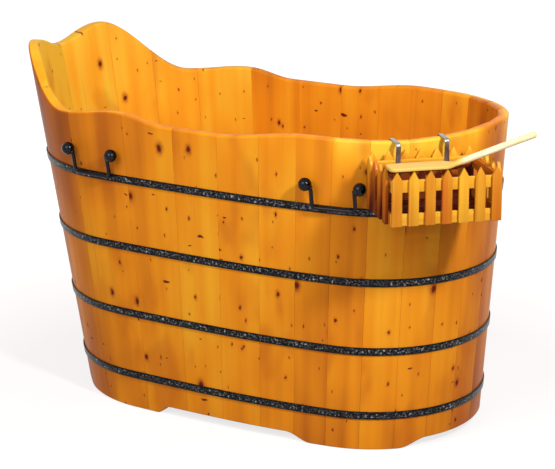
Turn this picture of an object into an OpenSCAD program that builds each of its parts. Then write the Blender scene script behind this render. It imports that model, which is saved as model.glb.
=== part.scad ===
// Oval wooden bathtub of staves and iron hoops, with double ball hooks,
// a picket basket hung on the rim and a ladle that lies across the basket.
// Millimetres, +Z up, origin on the floor midway under the whole set.
// The head end of the tub points to -X and the foot end to +X.

/* [Tub plan] */
// Half length of the tub at the floor, outside
base_half_len = 551; // [500:1:700]
// Half width of the tub at the floor, outside
base_half_w = 306; // [270:1:340]
// Height at which the leans below are measured
lean_h = 790; // [700:5:900]
// How far the foot end leans out at that height
foot_lean = 56; // [0:1:90]
// How far the head end leans out at that height
head_lean = 149; // [60:1:220]
// How far each long side leans out at that height
side_lean = 26; // [0:1:50]
// How far the long side bows out past the foot end's radius
foot_bow = 18; // [6:1:60]
// How far the long side bows out past the head end's radius
head_bow = 8; // [6:1:60]

/* [Staves] */
// Thickness of a stave at its edges
wall = 25; // [20:0.5:32]
// Joint between two staves
stave_gap = 0.3; // [0.2:0.05:0.6]
// Rounding of the rim
rim_round = 7; // [3:0.5:9]
// Height of the rim's low stretches
side_h = 773; // [720:1:840]
// Rise of the rim at the middle of the foot end
foot_rise = 36; // [0:1:60]
// Rise of the rim beside the foot end
shoulder_rise = 25; // [0:1:50]
// Rise of the rim where an arm lies
arm_rise = 20; // [0:1:50]
// Rise of the rim's crests at the head end
crest_rise = 136; // [60:1:180]
// Rise of the rim in the dip between the crests
neck_rise = 100; // [40:1:150]
// Height of the arches between the feet
arch_h = 22; // [8:1:40]

/* [Floor] */
// Height of the floor boards' underside
floor_z = 78; // [70:1:90]
// Thickness of the floor boards
floor_t = 22; // [16:1:28]
// Depth of the groove that holds the floor
groove = 8; // [5:0.5:10]
// Clearance of the floor in its groove
floor_fit = 0.5; // [0.2:0.1:1]
// Gap between two floor boards
board_gap = 0.3; // [0.2:0.1:0.6]
// Distance of each batten from the middle of the tub
batten_x = 210; // [160:5:240]
// Width of a batten
batten_w = 60; // [40:1:80]
// Thickness of a batten
batten_t = 24; // [16:1:30]
// Gap between a batten's end and the wall
batten_end_gap = 3; // [2:0.5:6]
// Diameter of the batten screws
screw_d = 5; // [4:0.5:6]
// Diameter of their heads
screw_head_d = 10; // [8:0.5:12]
// Height of their heads
screw_head_h = 3; // [2:0.5:4]
// Depth of the batten screws in the floor boards
screw_bite = 11; // [8:0.5:12]

/* [Hoops] */
// Heights of the hoops' middles, lowest first
hoop_z = [93, 263, 442, 621]; // [85:1:640]
// Height of a hoop
hoop_h = 20; // [14:1:26]
// Thickness of a hoop
hoop_t = 3.5; // [2:0.25:5]
// Gap between a hoop and the wall
hoop_fit = 0.3; // [0.2:0.05:0.5]
// Length of the plate that joins a hoop's ends
lap_len = 64; // [50:1:90]
// Thickness of that plate
lap_t = 3; // [2:0.25:4]
// Diameter of the rivets
rivet_d = 5; // [4:0.5:6]
// Diameter of the rivet heads
rivet_head_d = 11; // [9:0.5:13]
// Height of the rivet heads
rivet_head_h = 3; // [2:0.5:4]

/* [Double hooks] */
// Diameter of the hook rod
rod_d = 10; // [8:0.5:12]
// Distance between the two arms
hook_span = 111; // [90:1:130]
// Height of the straight part of an arm's top
arm_h = 44; // [30:1:60]
// Radius of the bends at the foot of the arms
foot_bend = 10; // [8:1:16]
// Radius of the bends under the balls
top_bend = 14; // [10:1:20]
// How far the top bends turn away from each other
splay = 55; // [20:1:75]
// Lean of the arms away from the wall
hook_lean = 12; // [6:1:20]
// Diameter of the balls
ball_d = 33; // [26:1:38]
// Distance from the end of a bend to its ball's middle
ball_reach = 10; // [6:1:14]
// Height of the rod above the middle of the top hoop
hook_rise = 4; // [2:0.5:6]
// Distance between the rod's middle and the hoop
hook_stand = 9; // [8:0.5:14]
// Diameter of the pads that carry the rod
pad_d = 15; // [12:1:18]

/* [Basket] */
// Distance between two pickets
picket_pitch = 40; // [36:1:46]
// Width of a picket
picket_w = 24; // [18:1:28]
// Thickness of pickets and rails
slat_t = 8; // [6:0.5:10]
// Height of a picket
picket_h = 130; // [110:1:160]
// Height of its point
point_h = 22; // [10:1:30]
// Depth of the basket outside
basket_depth = 210; // [180:1:240]
// Height of a rail
rail_h = 28; // [20:1:34]
// Height of the upper rail's underside above the pickets' feet
upper_rail_z = 79; // [60:1:84]
// Gap between two rails at a corner
rail_gap = 0.3; // [0.2:0.1:0.6]
// Height of the pickets' feet, measured up from the rim that the basket hangs on
basket_z = -146.9; // [-155:0.1:-130]
// Clearance between the basket and the wall at the rim
basket_gap = 4; // [2:0.5:8]
// Thickness of the basket's bottom slats
bottom_t = 6; // [4:0.5:8]
// Width of the basket's bottom slats
bottom_w = 28; // [20:1:32]
// Height of the bottom slats above the pickets' feet
bottom_rise = 3; // [1:0.5:8]
// Width of the strap hooks over the rim
strap_w = 12; // [8:1:14]
// Thickness of the strap hooks
strap_t = 2.5; // [2:0.25:4]
// Height of the strap hooks' outer ends above the upper rail's underside
strap_rise = 4; // [2:0.5:8]
// Depth of the strap hooks inside the tub
strap_drop = 40; // [25:1:60]
// Clearance of the strap hooks on the rim
strap_fit = 0.5; // [0.5:0.1:1]
// Diameter of the strap hooks' screws
hanger_screw_d = 4; // [3:0.5:5]
// Diameter of the heads of those screws
hanger_head_d = 9; // [7:0.5:10]
// Height of the heads of those screws
hanger_head_h = 2; // [1:0.5:3]

/* [Ladle] */
// Length of the blade
blade_len = 163; // [140:1:200]
// Width of the blade
blade_w = 54; // [45:1:80]
// Thickness of the blade
blade_t = 8; // [6:0.5:12]
// Rounding of the blade's corners
blade_round = 14; // [8:1:20]
// Length of the taper between the blade and the handle
neck_len = 26; // [16:1:40]
// How far the blade's edge reaches out past the basket's front
blade_out = 2; // [0:1:22]
// How far the blade's end reaches past the row of front pickets
blade_over = 5; // [2:1:20]
// Diameter of the handle
handle_d = 16; // [13:0.5:20]
// Length of the handle
handle_len = 200; // [160:1:260]
// Slope of the handle
handle_slope = 17; // [10:1:30]

/* [Drain] */
// Distance of the drain from the middle of the tub
drain_x = 345; // [320:1:380]
// Inner diameter of the drain
drain_bore_d = 36; // [28:1:37]
// Outer diameter of the drain's threaded tail
drain_tail_d = 44; // [44:1:46]
// Diameter of the drain's flange
drain_flange_d = 72; // [64:1:80]
// Thickness of the flange
drain_flange_t = 3; // [2:0.5:5]
// Length of the tail below the floor boards
drain_tail_len = 50; // [40:1:60]
// Outer diameter of the tail's plain end, which takes the waste hose
hose_d = 40; // [39:1:42]
// Length of that end
hose_len = 25; // [16:1:25]
// Diameter of the seal
seal_d = 66; // [56:1:76]
// Thickness of the seal
seal_t = 3; // [2:0.5:5]
// Diameter of the nut over its corners
nut_d = 70; // [60:1:78]
// Height of the nut
nut_h = 12; // [8:1:15]
// Clearance of pieces that slide over or into each other
slide_fit = 0.3; // [0.2:0.05:0.5]
// Length of the stopper's plug
plug_len = 16; // [10:1:24]
// Height of the stopper's knob
knob_h = 14; // [10:1:20]
// Diameter of the knob
knob_d = 16; // [12:1:24]
// Diameter of the knob's stem
knob_stem_d = 8; // [6:0.5:10]
// Thickness of the knob
knob_t = 5; // [3:0.5:7]
// Diameter of the stopper's rim
stopper_d = 44; // [42:1:56]
// Thickness of the stopper's rim
stopper_t = 3; // [2:0.5:4]

/* [Hidden] */
$fn = 48;
// How far a cut runs on past the face that it opens
past = 1;
// Columns that each stave is cut into along its width
STAVE_COLUMNS = 5;
// Stations run from 0 at the middle of the foot end to 1 at the middle of the head end
STAVE_EDGES = [
  0, 0.06, 0.115, 0.175, 0.235, 0.295, 0.355, 0.42,
  0.495, 0.57, 0.655, 0.755, 0.83, 0.90, 1
];
STAVES_A_SIDE = len(STAVE_EDGES) - 1;
RIM_MARKS = [
  [0, side_h + foot_rise], [0.22, side_h + shoulder_rise], [0.34, side_h + shoulder_rise],
  [0.50, side_h], [0.585, side_h], [0.663, side_h + arm_rise], [0.775, side_h],
  [0.91, side_h + crest_rise], [1, side_h + neck_rise]
];
ARCH_MARKS = [
  [0, arch_h], [0.11, arch_h], [0.166, 0], [0.323, 0], [0.372, arch_h],
  [0.609, arch_h], [0.637, 0], [0.82, 0], [0.874, arch_h], [1, arch_h]
];
BOARDS = 5;
FAR = 1;
NEAR = -1;
HEAD = -1;
FOOT = 1;
HOOK_STATIONS = [0.2875, 0.7135];
PAD_STEP = 0.027;
LAP_STATION = 0.44;
BASKET_STATION = 0.16;
FRONT_PICKETS = 7;
END_PICKETS = 4;
BOTTOM_SLATS = 5;
MIDDLE_PICKET = (FRONT_PICKETS - 1) / 2;

// Height of the marked line at station t, easing from mark to mark
function eased(u) = (1 - cos(180 * u)) / 2;
function mark_before(marks, t) = max([for (i = [0 : len(marks) - 2]) if (marks[i][0] <= t) i]);
function marked_height(marks, t) =
  let (i = mark_before(marks, t), a = marks[i], b = marks[i + 1])
  a[1] + (b[1] - a[1]) * eased((t - a[0]) / (b[0] - a[0]));
function rim_height(t) = marked_height(RIM_MARKS, t);
function arch_height(t) = marked_height(ARCH_MARKS, t);

// A quarter of the plan: an end arc that runs into a flatter side arc.
// u goes from 0 at the end to 1 at the middle of the side.
function degrees_of(radians) = radians * 180 / PI;
function side_radius(a, b, bow) = let (r = b - bow) (pow(a - r, 2) + b * b - r * r) / (2 * bow);
function turn_angle(a, b, bow) = atan2(side_radius(a, b, bow) - b, a - b + bow);
function quarter_angle(a, b, bow, u) =
  let (
    r = b - bow,
    big = side_radius(a, b, bow),
    turn = turn_angle(a, b, bow),
    end_arc = r * turn * PI / 180,
    side_arc = big * (90 - turn) * PI / 180,
    s = u * (end_arc + side_arc)
  )
  s < end_arc ? degrees_of(s / r) : turn + degrees_of((s - end_arc) / big);
function quarter_point(a, b, bow, u) =
  let (r = b - bow, big = side_radius(a, b, bow), angle = quarter_angle(a, b, bow, u))
  angle < turn_angle(a, b, bow)
    ? [a - r + r * cos(angle), r * sin(angle)]
    : [big * cos(angle), b - big + big * sin(angle)];

// The plan at a share of the lean height, and its outward direction half-way up
function plan_point(t, level) =
  let (
    b = base_half_w + level * side_lean,
    foot = quarter_point(base_half_len + level * foot_lean, b, foot_bow, min(1, 2 * t)),
    head = quarter_point(base_half_len + level * head_lean, b, head_bow, min(1, 2 * (1 - t)))
  )
  t <= 0.5 ? foot : [-head[0], head[1]];
function plan_normal(t) =
  let (
    b = base_half_w + side_lean / 2,
    foot = quarter_angle(base_half_len + foot_lean / 2, b, foot_bow, min(1, 2 * t)),
    head = quarter_angle(base_half_len + head_lean / 2, b, head_bow, min(1, 2 * (1 - t)))
  )
  t <= 0.5 ? [cos(foot), sin(foot)] : [-cos(head), sin(head)];

// A point of the far half of the wall, some depth inside its outer face and
// some way along it
function wall_point(t, z, depth = 0, along = 0) =
  let (
    low = plan_point(t, 0),
    high = plan_point(t, 1),
    n = plan_normal(t),
    p = low + (high - low) * z / lean_h - n * depth + [-n[1], n[0]] * along
  )
  [p[0], p[1], z];
function mix(a, b, share) = a + (b - a) * share;

// One side's pieces are drawn on the far side, and mirrored for the near side
module on_side(side) {
  if (side == FAR) children();
  else mirror([0, 1, 0]) children();
}

// A stave is lofted from columns of points: round outside, flat inside
function stave_column(from, to, share) =
  let (
    t = mix(from, to, share),
    along = stave_gap * (0.5 - share),
    foot = arch_height(t),
    top = rim_height(t),
    rim_half = rim_round * (1 - cos(45)),
    groove_top = floor_z + floor_t + floor_fit,
    outside = [
      [0, foot], for (z = hoop_z) [0, z], [0, top - rim_round],
      [rim_half, top - rim_half], [rim_round, top]
    ],
    inside = [
      [wall - rim_round, top], [wall - rim_half, top - rim_half],
      [wall, top - rim_round], [wall, groove_top], [wall - groove, groove_top],
      [wall - groove, floor_z], [wall, floor_z], [wall, foot]
    ]
  )
  concat(
    [for (p = outside) wall_point(t, p[1], p[0], along)],
    [for (p = inside) mix(
      wall_point(from, p[1], p[0], stave_gap / 2),
      wall_point(to, p[1], p[0], -stave_gap / 2),
      share
    )]
  );

// Skin of a loft through columns of n points each
function loft_sides(columns, n) = [
  for (c = [0 : columns - 2], k = [0 : n - 1])
    let (a = c * n + k, b = c * n + (k + 1) % n)
    each [[a, a + n, b + n], [a, b + n, b]]
];

module stave(from, to) {
  columns = [for (c = [0 : STAVE_COLUMNS]) stave_column(from, to, c / STAVE_COLUMNS)];
  n = len(columns[0]);
  last = STAVE_COLUMNS * n;
  polyhedron(
    points = [for (column = columns) each column],
    faces = concat(
      loft_sides(STAVE_COLUMNS + 1, n),
      [[for (k = [0 : n - 1]) k], [for (k = [n - 1 : -1 : 0]) last + k]]
    )
  );
}

// Staves 1 to 14 stand on the far side, foot to head, and the rest on the near side
module numbered_stave(number) {
  i = (number - 1) % STAVES_A_SIDE;
  side = number <= STAVES_A_SIDE ? FAR : NEAR;
  color("#e0962f")
    on_side(side)
      stave(STAVE_EDGES[i], STAVE_EDGES[i + 1]);
}

// Hoops follow the wall's lean and lie just outside it
HALF_STATIONS = [
  for (i = [0 : STAVES_A_SIDE - 1], c = [0 : STAVE_COLUMNS - 1])
    mix(STAVE_EDGES[i], STAVE_EDGES[i + 1], c / STAVE_COLUMNS)
];
HOOP_OUT = hoop_fit + hoop_t;

function hoop_section(t, z, side) = [
  for (p = [[hoop_fit, -1], [HOOP_OUT, -1], [HOOP_OUT, 1], [hoop_fit, 1]])
    let (w = wall_point(t, z + p[1] * hoop_h / 2, -p[0]))
    [w[0], side * w[1], w[2]]
];

module hoop(z) {
  sections = concat(
    [for (t = HALF_STATIONS) hoop_section(t, z, FAR)],
    [hoop_section(1, z, FAR)],
    [for (i = [len(HALF_STATIONS) - 1 : -1 : 1]) hoop_section(HALF_STATIONS[i], z, NEAR)]
  );
  n = len(sections);
  color("#2b2e33")
    polyhedron(
      points = [for (s = sections) each s],
      faces = [
        for (s = [0 : n - 1], k = [0 : 3])
          let (
            a = s * 4 + k,
            b = s * 4 + (k + 1) % 4,
            c = ((s + 1) % n) * 4 + k,
            d = ((s + 1) % n) * 4 + (k + 1) % 4
          )
          each [[a, d, c], [a, b, d]]
      ]
    );
}

// Places children at a wall point of the far side, with +Y straight out of the wall
module at_wall(t, z, out) {
  n = plan_normal(t);
  translate(wall_point(t, z, -out))
    rotate([0, 0, atan2(n[1], n[0]) - 90])
      children();
}

// The plate that joins a hoop's ends, with its rivets, lies on the far side
LAP_OUT = HOOP_OUT + 2 * hoop_fit;
RIVET_X = lap_len / 2 - rivet_head_d;

module at_laps() {
  for (z = hoop_z)
    at_wall(LAP_STATION, z, LAP_OUT)
      children();
}

module at_rivets() {
  at_laps()
    for (s = [-1, 1])
      translate([s * RIVET_X, 0, 0])
        rotate([-90, 0, 0])
          children();
}

module hoop_laps() {
  color("#2b2e33")
    difference() {
      at_laps()
        translate([-lap_len / 2, 0, -hoop_h / 2])
          cube([lap_len, lap_t, hoop_h]);
      at_rivets()
        translate([0, 0, -past])
          cylinder(d = rivet_d + 2 * slide_fit, h = lap_t + 2 * past);
    }
}

module hoop_rivets() {
  color("#3a3d42")
    at_rivets() {
      cylinder(d = rivet_d, h = lap_t + slide_fit + rivet_head_h);
      translate([0, 0, lap_t + slide_fit])
        cylinder(d1 = rivet_head_d, d2 = rivet_head_d / 2, h = rivet_head_h);
    }
}

// A double hook stands on two pads; its rod is straight between them
function hook_pad(t) = wall_point(t, hook_z, -(HOOP_OUT + hook_stand));
hook_z = hoop_z[len(hoop_z) - 1] + hook_rise;

function hook_frame(t) =
  let (a = hook_pad(t - PAD_STEP), b = hook_pad(t + PAD_STEP), d = a - b)
  [(a + b) / 2, atan2(d[1], d[0]), norm(d)];
function ball_place() =
  [
    hook_span / 2 + top_bend * (1 - cos(splay)) + ball_reach * sin(splay),
    arm_h + top_bend * sin(splay) + ball_reach * cos(splay)
  ];

module hook_half() {
  x = hook_span / 2;
  rotate([0, 90, 0])
    cylinder(d = rod_d, h = x - foot_bend);
  translate([x - foot_bend, 0, foot_bend])
    rotate([90, 0, 0])
      rotate_extrude(angle = 90, start = -90)
        translate([foot_bend, 0])
          circle(d = rod_d);
  translate([x, 0, foot_bend])
    cylinder(d = rod_d, h = arm_h - foot_bend);
  translate([x + top_bend, 0, arm_h])
    rotate([90, 0, 0])
      rotate_extrude(angle = splay, start = 180 - splay)
        translate([top_bend, 0])
          circle(d = rod_d);
  translate([ball_place()[0], 0, ball_place()[1]])
    sphere(d = ball_d);
}

module double_hook(t, side) {
  frame = hook_frame(t);
  color("#33363b")
    on_side(side) {
      translate(frame[0])
        rotate([0, 0, frame[1]])
          rotate([-hook_lean, 0, 0]) {
            hook_half();
            mirror([1, 0, 0]) hook_half();
          }
      for (s = [-1, 1])
        at_wall(t + s * PAD_STEP, hook_z, HOOP_OUT + hoop_fit)
          rotate([-90, 0, 0])
            cylinder(d = pad_d, h = hook_stand - hoop_fit);
    }
}

// The floor fills the groove; its outline has a corner at each stave joint
function outline(z, depth) = concat(
  [for (t = STAVE_EDGES) let (p = wall_point(t, z, depth)) [p[0], p[1]]],
  [
    for (i = [STAVES_A_SIDE - 1 : -1 : 1])
      let (p = wall_point(STAVE_EDGES[i], z, depth)) [p[0], -p[1]]
  ]
);
floor_half_w = wall_point(0.5, floor_z, wall - groove + floor_fit)[1];
board_w = 2 * floor_half_w / BOARDS;
floor_top = floor_z + floor_t;
batten_z = floor_z - batten_t;

function board_y(i) = (i - (BOARDS - 1) / 2) * board_w;

module at_batten_screws() {
  for (s = [-1, 1], i = [0 : BOARDS - 1])
    translate([s * batten_x, board_y(i), batten_z])
      children();
}

module floor_board(number) {
  color("#cf8a35")
    difference() {
      intersection() {
        translate([0, 0, floor_z])
          linear_extrude(floor_t)
            polygon(outline(floor_z, wall - groove + floor_fit));
        translate([-base_half_len, board_y(number - 1) - (board_w - board_gap) / 2, 0])
          cube([2 * base_half_len, board_w - board_gap, floor_top + past]);
      }
      at_batten_screws()
        cylinder(d = screw_d + 2 * slide_fit, h = batten_t + screw_bite + past);
      at_drain(0)
        cylinder(d = drain_tail_d + 2 * slide_fit, h = floor_top + past);
    }
}

module batten(side) {
  color("#c07d30")
    difference() {
      intersection() {
        translate([0, 0, batten_z])
          linear_extrude(batten_t)
            polygon(outline(batten_z, wall + batten_end_gap));
        translate([side * batten_x - batten_w / 2, -base_half_w, 0])
          cube([batten_w, 2 * base_half_w, floor_z]);
      }
      at_batten_screws()
        translate([0, 0, -past])
          cylinder(d = screw_d + 2 * slide_fit, h = batten_t + 2 * past);
    }
}

module batten_screws() {
  color("#8d8f92")
    at_batten_screws() {
      translate([0, 0, -screw_head_h - slide_fit])
        cylinder(d = screw_head_d, h = screw_head_h);
      translate([0, 0, -slide_fit])
        cylinder(d = screw_d, h = batten_t + screw_bite);
    }
}

// Drain, its seal and nut, and a stopper that lifts out
nut_z = floor_z - seal_t - nut_h;
drain_low = floor_z - drain_tail_len;
thread_low = drain_low + hose_len;
flange_top = floor_top + drain_flange_t;

module at_drain(z) {
  translate([drain_x, 0, z])
    children();
}

module drain_body() {
  color("#c9ccd0")
    at_drain(0)
      difference() {
        union() {
          translate([0, 0, drain_low])
            cylinder(d = hose_d, h = hose_len);
          translate([0, 0, thread_low])
            cylinder(d = drain_tail_d, h = floor_top - thread_low);
          translate([0, 0, floor_top])
            cylinder(d = drain_flange_d, h = drain_flange_t);
        }
        translate([0, 0, drain_low - past])
          cylinder(d = drain_bore_d, h = flange_top - drain_low + 2 * past);
      }
}

module drain_seal() {
  color("#202020")
    at_drain(floor_z - seal_t)
      difference() {
        cylinder(d = seal_d, h = seal_t);
        translate([0, 0, -past])
          cylinder(d = drain_tail_d + 2 * slide_fit, h = seal_t + 2 * past);
      }
}

module drain_nut() {
  color("#b9bcc0")
    at_drain(nut_z)
      difference() {
        cylinder(d = nut_d, h = nut_h, $fn = 6);
        translate([0, 0, -past])
          cylinder(d = drain_tail_d + 2 * slide_fit, h = nut_h + 2 * past);
      }
}

module drain_stopper() {
  color("#2a2a2a")
    at_drain(flange_top) {
      translate([0, 0, -plug_len])
        cylinder(d = drain_bore_d - 2 * slide_fit, h = plug_len + slide_fit + stopper_t);
      translate([0, 0, slide_fit])
        cylinder(d = stopper_d, h = stopper_t);
      translate([0, 0, slide_fit])
        cylinder(d = knob_stem_d, h = knob_h);
      translate([0, 0, slide_fit + knob_h - knob_t])
        cylinder(d = knob_d, h = knob_t);
    }
}

// The basket hangs on the near side. Its frame has +X along its front towards the foot
// end, +Y straight out of the wall and Z from the pickets' feet.
basket_rim_z = rim_height(BASKET_STATION);
feet_z = basket_rim_z + basket_z;
basket_half_w = MIDDLE_PICKET * picket_pitch + picket_w / 2;
rail_len = 2 * basket_half_w;
inner_y = 2 * slat_t;
inner_depth = basket_depth - 2 * inner_y;
end_pitch = basket_depth / (END_PICKETS + 1);

module in_basket() {
  mirror([0, 1, 0])
    translate([0, 0, basket_z])
      at_wall(BASKET_STATION, basket_rim_z, basket_gap)
        children();
}

module picket() {
  rotate([90, 0, 0])
    translate([0, 0, -slat_t])
      linear_extrude(slat_t)
        polygon([
          [-picket_w / 2, 0], [picket_w / 2, 0], [picket_w / 2, picket_h - point_h],
          [0, picket_h], [-picket_w / 2, picket_h - point_h]
        ]);
}

module picket_row(count, pitch) {
  for (i = [0 : count - 1])
    translate([(i - (count - 1) / 2) * pitch, 0, 0])
      picket();
}

module basket_front_pickets() {
  color("#eda82f")
    in_basket()
      translate([0, basket_depth - slat_t, 0])
        picket_row(FRONT_PICKETS, picket_pitch);
}

module basket_back_pickets() {
  color("#e59c2c")
    in_basket()
      picket_row(FRONT_PICKETS, picket_pitch);
}

module basket_end_pickets(side) {
  color("#d98b2c")
    in_basket()
      translate([side * (basket_half_w + slat_t / 2), basket_depth / 2, 0])
        rotate([0, 0, 90])
          translate([0, -slat_t / 2, 0])
            picket_row(END_PICKETS, end_pitch);
}

module basket_rails(z) {
  color("#dd9730")
    in_basket()
      translate([0, 0, z]) {
        for (y = [slat_t, basket_depth - 2 * slat_t])
          translate([-rail_len / 2, y, 0])
            cube([rail_len, slat_t, rail_h]);
        for (x = [-rail_len / 2, rail_len / 2 - slat_t])
          translate([x, inner_y + rail_gap, 0])
            cube([slat_t, inner_depth - 2 * rail_gap, rail_h]);
      }
}

module basket_bottom_slats() {
  slat_len = rail_len - 2 * slat_t;
  slat_pitch = (inner_depth - bottom_w) / (BOTTOM_SLATS - 1);
  color("#d98b2c")
    in_basket()
      for (i = [0 : BOTTOM_SLATS - 1])
        translate([-slat_len / 2, inner_y + i * slat_pitch, bottom_rise])
          cube([slat_len, bottom_w, bottom_t]);
}

// Strap hooks go over the rim and down to the upper back rail, between two pickets.
// Each takes its height and reach from the rim where it crosses it.
strap_x = 1.5 * picket_pitch;
strap_out = inner_y;
strap_low = upper_rail_z + strap_rise;
strap_round = 2 * strap_t;

function inner_rim(t) = wall_point(t, basket_rim_z, wall);
function station_at(x) =
  let (step = FOOT * 0.01, pace = norm(inner_rim(BASKET_STATION + step) - inner_rim(BASKET_STATION - step)))
  BASKET_STATION - x * 2 * step / pace;
function stave_at(t) = max([for (i = [0 : STAVES_A_SIDE - 1]) if (STAVE_EDGES[i] <= t) i]);
function inner_face_point(t, z) =
  let (i = stave_at(t), from = STAVE_EDGES[i], to = STAVE_EDGES[i + 1])
  mix(wall_point(from, z, wall), wall_point(to, z, wall), (t - from) / (to - from));
function reach_behind_basket(p) =
  let (d = wall_point(BASKET_STATION, basket_rim_z, -basket_gap) - p, n = plan_normal(BASKET_STATION))
  d[0] * n[0] + d[1] * n[1];
function strap_stations(x) = [station_at(x - strap_w / 2), station_at(x), station_at(x + strap_w / 2)];
function strap_height(x) =
  max([for (t = strap_stations(x)) rim_height(t)]) + strap_fit - feet_z;
function strap_reach(x) =
  max([
    for (t = strap_stations(x))
      reach_behind_basket(inner_face_point(t, rim_height(t) - strap_drop))
  ]) + strap_fit;

module strap_profile(x) {
  inner = strap_reach(x);
  under = strap_height(x);
  top = under + strap_t;
  difference() {
    union() {
      translate([-inner - strap_t + strap_round, top - strap_round]) circle(strap_round);
      translate([strap_out + strap_t - strap_round, top - strap_round]) circle(strap_round);
      translate([-inner - strap_t + strap_round, top - 2 * strap_round])
        square([inner + strap_out + 2 * (strap_t - strap_round), 2 * strap_round]);
      translate([-inner - strap_t, under - strap_drop])
        square([inner + strap_out + 2 * strap_t, strap_drop + strap_t - strap_round]);
      translate([strap_out, strap_low])
        square([strap_t, top - strap_round - strap_low]);
    }
    translate([-inner, under - 2 * strap_drop])
      square([inner + strap_out, 2 * strap_drop]);
  }
}

module basket_hangers() {
  color("#c8cacc")
    in_basket()
      for (s = [-1, 1])
        difference() {
          translate([s * strap_x - strap_w / 2, 0, 0])
            rotate([90, 0, 90])
              linear_extrude(strap_w)
                strap_profile(s * strap_x);
          translate([s * strap_x, strap_out - past, upper_rail_z + rail_h / 2])
            rotate([-90, 0, 0])
              cylinder(d = hanger_screw_d + 2 * slide_fit, h = strap_t + 2 * past);
        }
}

module hanger_screws() {
  color("#9da0a3")
    in_basket()
      for (s = [-1, 1])
        translate([s * strap_x, strap_out, upper_rail_z + rail_h / 2])
          rotate([-90, 0, 0]) {
            cylinder(d = hanger_screw_d, h = strap_t + slide_fit + hanger_head_h);
            translate([0, 0, strap_t + slide_fit])
              cylinder(d = hanger_head_d, h = hanger_head_h);
          }
}

// The ladle lies on the points of the front pickets, its blade over the head-side corner.
// The handle is as thin as the blade where it starts, and full round past the neck.
blade_x = -basket_half_w - blade_over;
ladle_y = basket_depth + blade_out - blade_w / 2;
handle_x = blade_x + blade_len - blade_t / 2;

function corner(cx, cy, r, from) = [
  for (i = [0 : 4]) [cx + r * cos(from + 22.5 * i), cy + r * sin(from + 22.5 * i)]
];

module ladle_blade() {
  linear_extrude(blade_t)
    polygon(concat(
      corner(blade_w / 2 - blade_round, -blade_round, blade_round, 0),
      corner(-blade_w / 2 + blade_round, -blade_round, blade_round, 90),
      [[-blade_w / 2, neck_len - blade_len], [-blade_t / 2, -blade_len]],
      [[blade_t / 2, -blade_len], [blade_w / 2, neck_len - blade_len]]
    ));
}

module ladle() {
  color("#efdc9f")
    in_basket()
      translate([blade_x, ladle_y, picket_h + slide_fit])
        rotate([0, 0, 90]) {
          ladle_blade();
          translate([0, blade_t / 2 - blade_len, blade_t / 2])
            rotate([90 - handle_slope, 0, 0]) {
              cylinder(d1 = blade_t, d2 = handle_d, h = neck_len);
              translate([0, 0, neck_len])
                cylinder(d = handle_d, h = handle_len - neck_len);
              translate([0, 0, handle_len])
                sphere(d = handle_d);
            }
        }
}

// The whole set is moved so that its overall box is centred on the origin
function basket_point(x, y) =
  let (p = wall_point(BASKET_STATION, basket_rim_z, -basket_gap - y, -x))
  [p[0], -p[1]];
function ball_y(t, side) =
  let (frame = hook_frame(t), ball = ball_place())
  frame[0][1] + side * ball[0] * sin(frame[1]) + ball[1] * sin(hook_lean) * cos(frame[1]) + ball_d / 2;
handle_end_x = handle_x + handle_len * cos(handle_slope);
low_x = min([for (t = concat(HALF_STATIONS, [1])) wall_point(t, rim_height(t) - rim_round)[0]]);
high_x = basket_point(handle_end_x, ladle_y)[0] + handle_d / 2;
low_y = min(
  basket_point(-basket_half_w - slat_t, basket_depth)[1],
  basket_point(blade_x + blade_round, ladle_y + blade_w / 2 - blade_round)[1] - blade_round
);
high_y = max([for (t = HOOK_STATIONS, side = [-1, 1]) ball_y(t, side)]);

module placed() {
  translate([-(low_x + high_x) / 2, -(low_y + high_y) / 2, 0])
    children();
}

for (i = [1 : 2 * STAVES_A_SIDE])
  placed() numbered_stave(i);
for (i = [1 : len(hoop_z)])
  placed() hoop(hoop_z[i - 1]);
placed() hoop_laps();
placed() hoop_rivets();
placed() double_hook(HOOK_STATIONS[0], NEAR);  // double_hook_1
placed() double_hook(HOOK_STATIONS[1], NEAR);  // double_hook_2
placed() double_hook(HOOK_STATIONS[0], FAR);  // double_hook_3
placed() double_hook(HOOK_STATIONS[1], FAR);  // double_hook_4
for (i = [1 : BOARDS])
  placed() floor_board(i);
placed() batten(HEAD);  // batten_head
placed() batten(FOOT);  // batten_foot
placed() batten_screws();
placed() drain_body();
placed() drain_seal();
placed() drain_nut();
placed() drain_stopper();
placed() basket_front_pickets();
placed() basket_back_pickets();
placed() basket_end_pickets(HEAD);  // basket_head_pickets
placed() basket_end_pickets(FOOT);  // basket_foot_pickets
placed() basket_rails(upper_rail_z);  // basket_upper_rails
placed() basket_rails(0);  // basket_lower_rails
placed() basket_bottom_slats();
placed() basket_hangers();
placed() hanger_screws();
placed() ladle();
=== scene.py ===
"""Looks of an oval wooden bathtub: lacquered staves, hammered iron hoops, ball hooks,
a picket basket hung on the rim, and a pale wooden ladle. Lengths are in metres."""

import math
import random

import bmesh
import bpy
from mathutils import Matrix, Vector, noise


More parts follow.
